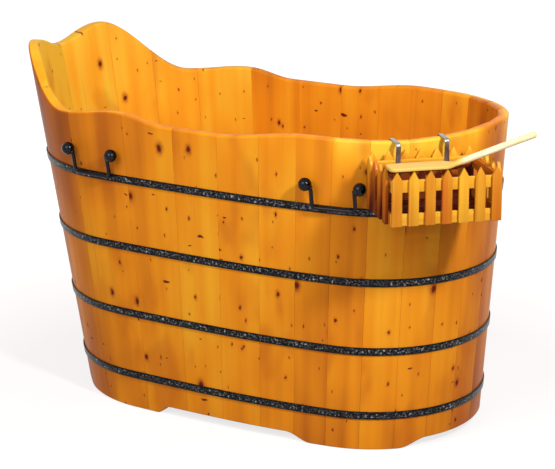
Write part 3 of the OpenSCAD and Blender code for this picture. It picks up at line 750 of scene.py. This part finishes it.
def made_of(name):
    """The material of that name, made the first time it is asked for."""
    f = bpy.context.scene.tub_finishes
    staves = (f.stave_deep, f.stave_dark, f.stave_mid, f.stave_light, f.stave_pale)
    slats = (f.slat_deep, f.slat_dark, f.slat_mid, f.slat_light, f.slat_pale)
    # A metal's numbers are its roughness where it is smoothest, what wear adds to that, and how
    # much longer brushing makes its scratches
    make, *parts = {
        "lacquered_knotty_cedar": (lacquered_wood, staves, f.stain, f.knot),
        "lacquered_floor_boards_x": (lacquered_wood, staves, f.stain, f.knot, "X"),
        "lacquered_floor_boards_y": (lacquered_wood, staves, f.stain, f.knot, "Y"),
        # Slats are sawn thin, so their stripes are narrow; they have no knots
        "lacquered_cedar_slats": (
            lacquered_wood, slats, f.stain, f.knot, None, 14 * MM, 0.42, False
        ),
        "sanded_raw_beech": (raw_sanded_wood, f.ladle_dark, f.ladle_light, f.ladle_worn),
        "hammered_black_iron": (hammered_iron, f.iron_dark, f.iron_light),
        "polished_gunmetal": (worked_metal, f.gunmetal, 0.12, 0.08),
        "plated_chrome": (worked_metal, f.chrome, 0.16, 0.12),
        "brushed_steel": (worked_metal, f.steel, 0.25, 0.15, 10.0),
        "moulded_rubber": (moulded_rubber, f.rubber),
    }[name]
    return bpy.data.materials.get(name) or make(name, *parts)


# Tub


def stave_profile(s, rim, foot, inset):
    """Depth and height of a stave's outline, up its outer face and down its inner face.
    The inset draws the whole outline in, which rounds the edges beside the joints."""
    low, top, back = foot + inset, rim - inset, s.wall - inset
    chamfer, levels = 2.5 * MM, 9
    radius = s.rim_round - inset
    shoulder = top - radius
    bends = arc((radius, shoulder), radius, 180, 90, steps=6)
    outer = [(inset + chamfer, low), (inset, low + chamfer)]
    outer += [(inset, mix(low + chamfer, shoulder, k / levels)) for k in range(1, levels)]
    outer += [(inset + depth, z) for depth, z in bends]
    inner = [(back - depth, z) for depth, z in reversed(bends)]
    groove_top, groove_back = FLOOR_HIGH + 0.5 * MM, s.wall - s.groove
    inner += [(back, mix(shoulder, groove_top, k / levels)) for k in range(1, levels + 1)]
    inner += [(groove_back, groove_top), (groove_back, FLOOR_LOW), (back, FLOOR_LOW)]
    inner += [(back, low + chamfer), (back - chamfer, low)]
    return outer, inner


def stave(wall, start, end, side, outer_tone, inner_tone):
    """Columns of a stave from edge to edge, curved outside and flat inside. Hands and water
    have worn its rim paler from the foot end to the middle; the head end is darker above the
    top hoop and the foot darker near the floor, both painted shade."""
    s = wall.s
    width = (wall.point(end, s.lean_height) - wall.point(start, s.lean_height)).length
    soft = s.joint_round / width
    steps = 12
    shares = [0, soft, *(mix(soft, 1 - soft, k / steps) for k in range(1, steps)), 1 - soft, 1]
    rings, places, tones = [], [], []
    (first, fade_in), (last, fade_out) = RUBBED_FROM, RUBBED_TO
    for share in shares:
        inset = s.joint_round if share in (0, 1) else 0.0
        t = mix(start, end, share)
        rim, along = wall.rim(t), s.joint * (0.5 - share)
        outer, inner = stave_profile(s, rim, wall.arch(t), inset)
        ring = [wall.point(t, z, side, depth, along) for depth, z in outer]
        ring += [
            wall.point(start, z, side, depth, s.joint / 2).lerp(
                wall.point(end, z, side, depth, -s.joint / 2), share
            )
            for depth, z in inner
        ]
        rings.append(ring)
        places += [Vector((share * width, depth, z)) for depth, z in outer + inner]
        rubbed = s.worn_rim * faded(last - t, fade_out) * faded(t - first, fade_in)
        # Painted shade: the head end is darker above the top hoop
        head_shade = s.dark_head * faded(t - HEAD_SHADE_FROM[0], HEAD_SHADE_FROM[1])
        for depth, z in outer:
            tone = mix(
                outer_tone, RUBBED_TONE, rubbed * faded(z - rim + RUBBED_DEPTH[0], RUBBED_DEPTH[1])
            )
            tone -= head_shade * faded(z - HOOP_HEIGHTS[-1] + HEAD_SHADE_DEPTH[0], HEAD_SHADE_DEPTH[1])
            # Painted shade: the wood is darker towards the floor
            tone -= s.damp_foot * faded(FOOT_SHADE_HEIGHT - z, FOOT_SHADE_HEIGHT)
            # The rim's top takes the paler of the two faces' tones
            tones.append(mix(tone, max(tone, inner_tone), faded(depth - MM, 4 * MM)))
        tones += [inner_tone] * len(inner)
    return rings, places, tones


def build_staves(scene):
    """All staves, numbered from the foot end, far side first."""
    wall = Wall(scene.tub_sizes)
    wood = made_of("lacquered_knotty_cedar")
    for number in range(1, 2 * STAVES_A_SIDE + 1):
        index = (number - 1) % STAVES_A_SIDE
        timber = Timber(number)
        chance = timber.draw.uniform(-STAVE_CHANCE, STAVE_CHANCE)
        # One board is made paler inside as painted light
        inside = INSIDE_TONES[index] + (PAINTED_LIGHT_BY if number == PAINTED_LIGHT_BOARD else 0)
        rings, places, tones = stave(
            wall, STAVE_EDGES[index], STAVE_EDGES[index + 1],
            FAR if number <= STAVES_A_SIDE else NEAR, OUTSIDE_TONES[index] + chance,
            inside + chance,
        )
        timber.ring_skin(rings, places, tone=tones)
        timber.piece(f"stave_wood_{number}", wood, "tub", "stave_wood", f"stave_{number}")


def bar_section(thickness, height, edge=1.1 * MM):
    """Outline of a flat bar with softened edges: reach out of the wall, and rise."""
    half = height / 2
    return [
        (edge, -half), (thickness - edge, -half), (thickness, edge - half), (thickness, -half / 2),
        (thickness, 0), (thickness, half / 2), (thickness, half - edge), (thickness - edge, half),
        (edge, half), (0, half - edge), (0, edge - half),
    ]


def domed(radius, rise):
    """Profile of a fastener's domed head on a short shank."""
    shank, rim, steps = 0.4 * radius, 0.2 * MM, 7
    turns = [QUARTER_TURN * k / steps for k in range(steps)]
    return [(shank, -2 * MM), (shank, rim), (radius, rim)] + [
        (radius * math.cos(a), 0.3 * MM + rise * math.sin(a) * 0.9) for a in turns
    ]


def forged(timber, name, replaced):
    """Makes a piece of the hoops."""
    timber.piece(name, made_of("hammered_black_iron"), "tub", "hoop_iron", replaced, sharp=50)


def build_hoops(scene):
    """Hammered hoops: a flat bar with shallow dents, bent round the wall. Its ends are joined
    by a riveted plate on the far side."""
    wall, fit = Wall(scene.tub_sizes), scene.tub_fittings
    steps = 640
    section = bar_section(fit.hoop_thickness, fit.hoop_height)
    # Only the middle of the bar's face is rubbed; the dark edges are painted shade
    rubbed = [float(abs(rise) < fit.hoop_height / 3) for _, rise in section]
    for number, height in enumerate(HOOP_HEIGHTS, 1):
        rings, run, last = [], 0.0, None
        for step in range(steps):
            share = 2 * step / steps
            side, t = (FAR, share) if share <= 1 else (NEAR, 2 - share)
            spot = wall.point(t, height, side)
            run += (spot - last).length if last else 0.0
            last = spot
            ring = []
            for out, rise in section:
                # Each hoop takes its dents from another layer of the pattern
                mark = Vector((run / fit.dent_size, rise / fit.dent_size, 9.0 * number))
                dent = fit.dent * (1 - min(1, 1.6 * noise.voronoi(mark)[0][0]))
                front = out > fit.hoop_thickness / 2
                ring.append(wall.point(t, height + rise, side, -(fit.fit + out - dent * front)))
            rings.append(ring)
        timber = Timber(100 + number)
        timber.ring_skin(rings, looped=True, tone=rubbed * steps)
        forged(timber, f"hammered_hoop_{number}", f"hoop_{number}")
    build_laps(wall, fit)


def build_laps(wall, fit):
    """The plates that join the hoops' ends, with a rivet at each end."""
    plates, rivets, steps = Timber(110), Timber(111), 8
    for height in HOOP_HEIGHTS:
        place = wall.frame_at(LAP_STATION, height, 3 * fit.fit + fit.hoop_thickness)
        plates.ring_skin([
            [
                place @ Vector((mix(-0.5, 0.5, k / steps) * fit.lap_length, out, rise))
                for out, rise in bar_section(fit.lap, fit.hoop_height)
            ]
            for k in range(steps + 1)
        ])
        for s in (-1, 1):
            stand = Vector((s * (fit.lap_length / 2 - fit.rivet_head), fit.lap, 0))
            seat = place @ Matrix.Translation(stand) @ Z_TO_Y
            rivets.turned(seat, domed(fit.rivet_head / 2, rise=3 * MM), sides=20)
    forged(plates, "hoop_plates", "hoop_laps")
    forged(rivets, "domed_rivets", "hoop_rivets")


def hook_path(fit):
    """Half of the bent rod, from its middle to its ball: spots and headings in its own plane.
    Also the ball's middle and the way to it."""
    x, splay = fit.hook_span / 2, 55
    path = [(Vector((x * k / 4, 0)), 0.0) for k in range(4)]
    path += bend((x - fit.foot_bend, fit.foot_bend), fit.foot_bend, -90, 0)
    path += [(Vector((x, mix(fit.foot_bend, fit.arm, k / 4))), 90.0) for k in (1, 2, 3)]
    path += bend((x + fit.top_bend, fit.arm), fit.top_bend, 180, 180 - splay)
    end, heading = path[-1]
    way = Vector((math.cos(math.radians(heading)), math.sin(math.radians(heading))))
    return path, end + way * fit.ball_reach, way


def knob_profile(fit):
    """Radius and height up a collar and its ball, round the ball's middle."""
    rod, ball, steps = fit.rod / 2, fit.ball / 2, 20
    collar = [
        (rod, -ball - 3 * MM), (rod + 2 * MM, -ball - 2 * MM), (rod + 2.4 * MM, -ball),
        (rod + 2 * MM, -ball + 1.5 * MM),
    ]
    turns = [2 * QUARTER_TURN * k / steps for k in range(1, steps)]
    round_ball = [(ball * math.sin(a), -ball * math.cos(a)) for a in turns]
    return collar + [(radius, z) for radius, z in round_ball if z > collar[-1][1]]


def pad_profile(fit):
    """Radius and height of a pad, from the hoop out to the rod."""
    pad, neck = fit.pad / 2, fit.pad / 3
    return [
        (pad, 0), (pad, 1.5 * MM), (pad - 1.5 * MM, 3 * MM), (neck, 4 * MM),
        (neck, fit.hook_stand - fit.fit),
    ]


def hook_frame(wall, station, side, height, out):
    """The frame of a hook: X along its rod, Z up its arms, which lean out with the wall and a
    little more."""
    a, b = (wall.point(station + step, height, side, -out) for step in (-PAD_STEP, PAD_STEP))
    x_axis, up, lean = (a - b).normalized(), Vector((0, 0, 1)), math.radians(12)
    n, outward = wall.normal(station), Vector((-x_axis.y, x_axis.x, 0))
    if outward.dot(Vector((n.x, side * n.y, 0))) < 0:
        outward = -outward
    z_axis = outward * math.sin(lean) + up * math.cos(lean)
    y_axis = outward * math.cos(lean) - up * math.sin(lean)
    turn = Matrix((x_axis, y_axis, z_axis)).transposed().to_4x4()
    return Matrix.Translation((a + b) / 2) @ turn


def build_hooks(scene):
    """Double hooks: one bent rod on two pads, with a ball and collar on each end."""
    wall, fit = Wall(scene.tub_sizes), scene.tub_fittings
    out = fit.fit + fit.hoop_thickness
    height = HOOP_HEIGHTS[-1] + fit.hook_rise
    half, ball, way = hook_path(fit)
    path = [(Vector((-p.x, p.y)), -heading) for p, heading in reversed(half[1:])] + half
    for number in range(1, 5):
        side = NEAR if number <= 2 else FAR
        station = HOOK_STATIONS[(number - 1) % 2]
        place = hook_frame(wall, station, side, height, out + fit.hook_stand)
        timber = Timber(200 + number)
        timber.bent(place, path, circle(fit.rod / 2, sides=20))
        for s in (-1, 1):
            towards = Vector((s * way.x, 0, way.y))
            spin = Vector((0, 0, 1)).rotation_difference(towards).to_matrix()
            seat = place @ Matrix.Translation((s * ball.x, 0, ball.y)) @ spin.to_4x4()
            timber.turned(seat, knob_profile(fit), sides=32)
            stand = wall.frame_at(station + s * PAD_STEP, height, out + fit.fit, side)
            timber.turned(stand @ Z_TO_Y, pad_profile(fit), sides=24)
        timber.piece(
            f"ball_hook_{number}", made_of("polished_gunmetal"), "tub", "hook_iron",
            f"double_hook_{number}", sharp=45,
        )


def dress(node, finish, edge):
    """Gives a CAD node that keeps its shape its real finish, and rounds its sharp edges."""
    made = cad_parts[node]
    made.data.materials.clear()
    made.data.materials.append(made_of(finish))
    rounded = made.modifiers.new("soft edges", "BEVEL")
    rounded.width = edge
    rounded.segments = 2
    rounded.limit_method = "ANGLE"
    rounded.angle_limit = math.radians(35)


def build_floor(scene):
    """Floor boards, battens, screws and drain keep their shape and get their real finish."""
    board_edge = scene.tub_fittings.board_edge
    for number in range(1, 6):
        dress(f"floor_board_{number}", "lacquered_floor_boards_x", board_edge)
    for node in ("batten_head", "batten_foot"):
        dress(node, "lacquered_floor_boards_y", board_edge)
    for node in ("batten_screws", "drain_body", "drain_nut"):
        dress(node, "brushed_steel", edge=0.6 * MM)
    for node in ("drain_seal", "drain_stopper"):
        dress(node, "moulded_rubber", edge=0.8 * MM)


# Basket and ladle


class Basket:
    """The basket's frame: X along its front to the foot end, Y out of the wall, Z up."""

    def __init__(self, scene):
        wall, fit = Wall(scene.tub_sizes), scene.tub_fittings
        rim = wall.rim(BASKET_STATION)
        place = wall.frame_at(BASKET_STATION, rim, fit.basket_gap, NEAR)
        self.place = Matrix.Translation((0, 0, PICKET_FOOT - rim)) @ place
        self.half = 3 * fit.picket_pitch + fit.picket_width / 2
        self.inner = fit.basket_depth - 4 * fit.slat

    def at(self, x, y, z, turn=0.0):
        return self.place @ Matrix.Translation((x, y, z)) @ Matrix.Rotation(turn, 4, "Z")


def picket_outline(fit):
    half, tall = fit.picket_width / 2, PICKET_TIP - PICKET_FOOT
    shoulder = tall - fit.picket_point
    return [(-half, 0), (half, 0), (half, shoulder), (0, tall), (-half, shoulder)]


def slat_outline(run, tall):
    return [(-run / 2, 0), (run / 2, 0), (run / 2, tall), (-run / 2, tall)]


def glued(timber, name, replaced):
    """Makes a piece of the basket's wood."""
    wood = made_of("lacquered_cedar_slats")
    timber.piece(name, wood, "basket", "basket_wood", f"basket_{replaced}")


def build_basket(scene):
    """Pointed pickets on four sides, rails behind them, slats for a bottom, and strap hooks."""
    fit, basket = scene.tub_fittings, Basket(scene)
    build_pickets(fit, basket)
    build_rails(fit, basket)
    build_bottom(fit, basket)
    build_straps(fit, basket)


def build_pickets(fit, basket):
    """Rows of pointed pickets: seven along the front and the back, four along each end."""
    depth, slat, half = fit.basket_depth, fit.slat, basket.half
    rows = {
        "front": (7, fit.picket_pitch, basket.at(0, depth - slat, 0)),
        "back": (7, fit.picket_pitch, basket.at(0, 0, 0)),
        "head": (4, depth / 5, basket.at(-half, depth / 2, 0, QUARTER_TURN)),
        "foot": (4, depth / 5, basket.at(half + slat, depth / 2, 0, QUARTER_TURN)),
    }
    for seed, (side, (count, pitch, place)) in enumerate(rows.items(), 300):
        timber = Timber(seed)
        for index in range(count):
            shift = Matrix.Translation(((index - (count - 1) / 2) * pitch, 0, 0))
            chance = timber.draw.uniform(-PICKET_CHANCE, PICKET_CHANCE)
            tones = [tone + chance for tone in PICKET_TONES[side]]
            timber.board(place @ shift, picket_outline(fit), slat, fit.slat_edge, tones)
        glued(timber, f"pickets_{side}", f"{side}_pickets")


def build_rails(fit, basket):
    """Upper and lower rails behind the pickets: back, front and both ends."""
    depth, slat, half, end_run = fit.basket_depth, fit.slat, basket.half, basket.inner - 2 * fit.fit
    for seed, (level, back_tones) in enumerate(BACK_RAIL_TONES.items(), 310):
        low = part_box(f"basket_{level}_rails")[0].z - PICKET_FOOT
        timber = Timber(seed)
        for x, y, turn, run, tones in (
            (0, slat, 0, 2 * half, back_tones),
            (0, depth - 2 * slat, 0, 2 * half, FRONT_RAIL_TONES),
            (slat - half, depth / 2, QUARTER_TURN, end_run, END_RAIL_TONES),
            (half, depth / 2, QUARTER_TURN, end_run, END_RAIL_TONES),
        ):
            outline = slat_outline(run, fit.rail)
            timber.board(basket.at(x, y, low, turn), outline, slat, fit.slat_edge, tones, "X")
        glued(timber, f"rails_{level}", f"{level}_rails")


def build_bottom(fit, basket):
    """Slats along the basket's bottom."""
    low, high = (corner.z - PICKET_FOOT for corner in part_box("basket_bottom_slats"))
    timber, count, width = Timber(320), 5, fit.bottom_slat
    pitch = (basket.inner - width) / (count - 1)
    outline = slat_outline(2 * (basket.half - fit.slat), width)
    for index in range(count):
        flat = basket.at(0, 2 * fit.slat + width / 2 + index * pitch, high) @ Z_TO_Y
        flat = flat @ Matrix.Translation((0, 0, -width / 2))
        timber.board(flat, outline, high - low, fit.slat_edge, BOTTOM_TONES, "X")
    glued(timber, "bottom_slats", "bottom_slats")


def build_straps(fit, basket):
    """Strap hooks: a flat chromed bar bent over the rim, screwed to the upper back rail."""
    radius, half = fit.strap_bend, fit.strap / 2
    screw_z = middle("hanger_screws").z - PICKET_FOOT
    hangers = [
        basket.place.inverted() @ v.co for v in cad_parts["basket_hangers"].data.vertices
    ]
    # The section lies round the strap's middle; its long side runs along the rim
    section = [(out - half, y) for out, y in bar_section(fit.strap, fit.strap_width, 0.7 * MM)]
    straps, screws = Timber(330), Timber(331)
    for s in (-1, 1):
        x = s * 1.5 * fit.picket_pitch
        spots = [p for p in hangers if s * p.x > 0]
        shoulder = max(p.z for p in spots) - half - radius
        back, front = min(p.y for p in spots) + half, max(p.y for p in spots) - half
        inner_end = min(p.z for p in spots if p.y < 0)
        outer_end = min(p.z for p in spots if p.y > 0)
        path = [(Vector((back, z)), 90.0) for z in (inner_end, mix(inner_end, shoulder, 0.5))]
        path += bend((back + radius, shoulder), radius, 180, 90)
        path += bend((front - radius, shoulder), radius, 90, 0)
        path += [(Vector((front, z)), -90.0) for z in (mix(outer_end, shoulder, 0.5), outer_end)]
        # The path runs out of the wall, so its own X and Y are the basket's Y and X
        sideways = Matrix(((0, 1, 0, x), (1, 0, 0, 0), (0, 0, 1, 0), (0, 0, 0, 1)))
        straps.bent(basket.place @ sideways, path, section)
        seat = basket.at(x, 2 * fit.slat + fit.strap, screw_z) @ Z_TO_Y
        screws.turned(seat, domed(fit.screw_head / 2, rise=2 * MM), sides=20)
    for timber, name, metal, slot, replaced in (
        (straps, "strap_hooks", "plated_chrome", "strap_chrome", "basket_hangers"),
        (screws, "domed_screws", "brushed_steel", "screw_steel", "hanger_screws"),
    ):
        timber.piece(name, made_of(metal), "basket", slot, replaced, sharp=50)


def ladle_path(fit):
    """Stations along the ladle: place, heading, height, half width and half thickness."""
    half, thin, radius = fit.blade_width / 2, fit.blade / 2, fit.handle / 2
    corner, soft, steps = fit.blade_corner, 2 * MM, 12
    rows = []
    for k in range(steps + 1):
        # The blade's end: round corners in plan and a softened edge
        along = corner * (1 - math.cos(QUARTER_TURN * k / steps))
        drawn_in = corner - math.sqrt(corner ** 2 - (corner - along) ** 2)
        tip = max(0.0, soft - along)
        flat = thin - soft + math.sqrt(soft ** 2 - tip ** 2) if along < soft else thin
        rows.append((along, 0.0, thin, half - drawn_in, max(flat, thin - soft + 0.1 * MM)))
    # Where the blade becomes the handle: over which stretches it bends up, narrows and thickens
    start, slope, ramp = fit.blade_length - fit.blade / 2, fit.handle_slope, 20 * MM
    (narrow_from, narrow_to), (thick_from, thick_to) = (-fit.neck, 10 * MM), (-9 * MM, 26 * MM)
    first, last, neck_steps, handle_steps = -fit.neck - 4 * MM, 30 * MM, 22, 14
    length = fit.handle_length * math.cos(slope)
    stops = [start + mix(first, last, k / neck_steps) for k in range(neck_steps + 1)]
    stops += [start + mix(last, length, k / handle_steps) for k in range(1, handle_steps + 1)]
    for along in stops:
        past = along - start
        turn = min(1.0, max(0.0, (past + ramp / 2) / ramp))
        rise = math.tan(slope) * (ramp / 2 * turn * turn if turn < 1 else past)
        rows.append((
            along, math.atan(math.tan(slope) * turn), thin + rise,
            mix(half, radius, faded(past - narrow_from, narrow_to - narrow_from)),
            mix(thin, radius, faded(past - thick_from, thick_to - thick_from)),
        ))
    along, heading, height = rows[-1][:3]
    end_steps = 8
    for k in range(1, end_steps + 1):
        # The handle's round end stops just short of a point
        turn = QUARTER_TURN * k / (1.05 * end_steps)
        reach, across = radius * math.sin(turn), radius * math.cos(turn)
        rows.append((
            along + reach * math.cos(slope), heading, height + reach * math.sin(slope), across,
            across,
        ))
    return rows


def build_ladle(scene):
    """The ladle: a flat blade with round corners that narrows to a long round handle."""
    fit, basket = scene.tub_fittings, Basket(scene)
    place = basket.at(
        -basket.half - fit.blade_over, fit.basket_depth + fit.blade_out - fit.blade_width / 2,
        PICKET_TIP - PICKET_FOOT + fit.fit,
    )
    rings, places, wet = [], [], []
    for along, heading, height, across, up in ladle_path(fit):
        edge = min(across, up, mix(2 * MM, fit.handle / 2, up / across))
        ring = []
        for quarter, (sx, sy) in enumerate(((1, 1), (-1, 1), (-1, -1), (1, -1))):
            centre = (sx * (across - edge), sy * (up - edge))
            ring += arc(centre, edge, 90 * quarter, 90 * quarter + 90, steps=6)
        rings.append([
            place @ Vector((along - p.y * math.sin(heading), p.x, height + p.y * math.cos(heading)))
            for p in ring
        ])
        places += [Vector((p.x, p.y, along)) for p in ring]
        # Water has yellowed the blade, and fades out over the first of the handle
        wet += [1 - faded(along - fit.blade_length, 30 * MM)] * len(ring)
    timber = Timber(340)
    timber.ring_skin(rings, places, tone=wet)
    wood = made_of("sanded_raw_beech")
    timber.piece("ladle_wood", wood, "ladle", "ladle_wood", "ladle", sharp=60)


# Stage


def aimed(name, data, aim, towards, distance):
    """Stands a lamp or the camera some way from the aim and turns it to the aim."""
    made = bpy.data.objects.new(name, data)
    bpy.context.scene.collection.objects.link(made)
    back = Vector(towards).normalized()
    made.location = aim + back * distance
    made.rotation_euler = back.to_track_quat("Z", "Y").to_euler()
    return made


def seen_or_mirrored(tree):
    """One where a ray comes from the camera, from a mirror or through glass, else zero."""
    path = put(tree, "LightPath").outputs
    seen = path["Is Camera Ray"]
    for other in ("Is Glossy Ray", "Is Transmission Ray"):
        seen = put(tree, "Math", {0: seen, 1: path[other]}, operation="MAXIMUM")
    return seen


def white_room(studio):
    """A world that is seen as white and lights the tub with a dimmer, warmer light."""
    world = bpy.data.worlds.new("room")
    world.use_nodes = True
    tree = world.node_tree
    tree.nodes.clear()
    seen = seen_or_mirrored(tree)
    tint = put(
        tree, "Mix", {"Factor": seen, 6: (*studio.room, 1), 7: (1, 1, 1, 1)}, data_type="RGBA"
    ).outputs[2]
    strength = put(tree, "MapRange", {"Value": seen, "To Min": studio.ambience, "To Max": 1.0})
    light = put(tree, "Background", {"Color": tint, "Strength": strength})
    put(tree, "OutputWorld", {"Surface": light})
    return world


def studio_floor(name, tint, lifted):
    """Matt grey studio paper: the camera sees it lifted to white, with the shadow kept."""
    made, tree = blank(name)
    where = put(tree, "NewGeometry")
    # The paper's tooth is too fine to show; drawn as faint clouds 60 mm wide
    tooth = grain(tree, where, 3 * [60 * MM])
    paper = put(tree, "ValToRGB", {"Fac": tooth}, [(0.0, darker(tint, 0.02)), (1.0, tint)])
    matt = put(tree, "BsdfDiffuse", {"Color": paper})
    # Far from the lamps the floor gets no light, so there the lift alone makes it white
    away = put(tree, "VectorMath", {0: where}, operation="LENGTH").outputs["Value"]
    level = put(tree, "MapRange", {
        "Value": away, "From Min": 0.8, "From Max": 1.9, "To Min": lifted, "To Max": 1.0,
    })
    lift = put(tree, "Math", {0: seen_or_mirrored(tree), 1: level}, operation="MULTIPLY")
    glow = put(tree, "Emission", {"Color": (1, 1, 1, 1), "Strength": lift})
    put(tree, "OutputMaterial", {"Surface": put(tree, "AddShader", {0: matt, 1: glow})})
    return made


def build_stage(scene):
    """A pale floor, a white room, soft lamps, and the camera at the photograph's angle."""
    studio = scene.tub_studio
    scene.view_settings.view_transform = "Standard"
    scene.world = white_room(studio)
    aim = Vector((TUB_MIDDLE.x + studio.aim_ahead, TUB_MIDDLE.y, studio.aim_height))
    az, el = studio.azimuth, studio.elevation
    back = (math.sin(az) * math.cos(el), -math.cos(az) * math.cos(el), math.sin(el))
    camera = bpy.data.cameras.new("camera")
    camera.lens, camera.sensor_width = studio.lens, 36
    scene.camera = aimed("camera", camera, aim, back, studio.distance)
    for name, (towards, distance, across) in LAMPS.items():
        lamp = bpy.data.lights.new(name, "AREA")
        lamp.size, lamp.energy = across, getattr(studio, f"{name}_power")
        aimed(name, lamp, aim, towards, distance)

    mesh, reach, cells = bpy.data.meshes.new("floor"), 30.0, 8
    bm = bmesh.new()
    bmesh.ops.create_grid(bm, x_segments=cells, y_segments=cells, size=reach)
    bm.to_mesh(mesh)
    bm.free()
    floor = bpy.data.objects.new("floor", mesh)
    scene.collection.objects.link(floor)
    floor.location.z = CAD_BOX[0].z
    mesh.materials.append(studio_floor("pale_floor", scene.tub_finishes.floor, studio.floor_lift))


# Operators and panel


class TUB_OT_staves(bpy.types.Operator):
    """Builds the lacquered staves of the wall"""

    bl_idname = "tub.staves"
    bl_label = "Staves"

    def execute(self, context):
        build_staves(context.scene)
        return {"FINISHED"}


class TUB_OT_hoops(bpy.types.Operator):
    """Builds the hammered iron hoops"""

    bl_idname = "tub.hoops"
    bl_label = "Hoops"

    def execute(self, context):
        build_hoops(context.scene)
        return {"FINISHED"}


class TUB_OT_hooks(bpy.types.Operator):
    """Builds the ball-ended double hooks"""

    bl_idname = "tub.hooks"
    bl_label = "Double hooks"

    def execute(self, context):
        build_hooks(context.scene)
        return {"FINISHED"}


class TUB_OT_floor(bpy.types.Operator):
    """Finishes the floor boards, battens and drain"""

    bl_idname = "tub.floor"
    bl_label = "Floor and drain"

    def execute(self, context):
        build_floor(context.scene)
        return {"FINISHED"}


class TUB_OT_basket(bpy.types.Operator):
    """Builds the picket basket and its strap hooks"""

    bl_idname = "tub.basket"
    bl_label = "Basket"

    def execute(self, context):
        build_basket(context.scene)
        return {"FINISHED"}


class TUB_OT_ladle(bpy.types.Operator):
    """Builds the wooden ladle"""

    bl_idname = "tub.ladle"
    bl_label = "Ladle"

    def execute(self, context):
        build_ladle(context.scene)
        return {"FINISHED"}


class TUB_OT_stage(bpy.types.Operator):
    """Sets up the floor, the lamps and the camera"""

    bl_idname = "tub.stage"
    bl_label = "Stage"

    def execute(self, context):
        build_stage(context.scene)
        return {"FINISHED"}


OPERATORS = (
    TUB_OT_staves, TUB_OT_hoops, TUB_OT_hooks, TUB_OT_floor, TUB_OT_basket, TUB_OT_ladle,
    TUB_OT_stage,
)
GROUPS = {
    "tub_sizes": TubSizes, "tub_fittings": FittingSizes, "tub_finishes": Finishes,
    "tub_studio": Studio,
}


class TUB_PT_panel(bpy.types.Panel):
    """Lists the steps and the sizes of the bathtub"""

    bl_label = "Wooden Bathtub"
    bl_idname = "TUB_PT_panel"
    bl_space_type = "VIEW_3D"
    bl_region_type = "UI"
    bl_category = "Bathtub"

    def draw(self, context):
        for operator in OPERATORS:
            self.layout.operator(operator.bl_idname)
        for name, group in GROUPS.items():
            box = self.layout.box()
            for entry in group.__annotations__:
                box.prop(getattr(context.scene, name), entry)


def register():
    for shown in (*GROUPS.values(), *OPERATORS, TUB_PT_panel):
        bpy.utils.register_class(shown)
    for name, group in GROUPS.items():
        setattr(bpy.types.Scene, name, bpy.props.PointerProperty(type=group))


def unregister():
    for name in GROUPS:
        delattr(bpy.types.Scene, name)
    for shown in (TUB_PT_panel, *OPERATORS, *GROUPS.values()):
        bpy.utils.unregister_class(shown)


def main():
    register()
    bpy.ops.tub.staves()
    bpy.ops.tub.hoops()
    bpy.ops.tub.hooks()
    bpy.ops.tub.floor()
    bpy.ops.tub.basket()
    bpy.ops.tub.ladle()
    bpy.ops.tub.stage()


if __name__ == "__main__":
    main()
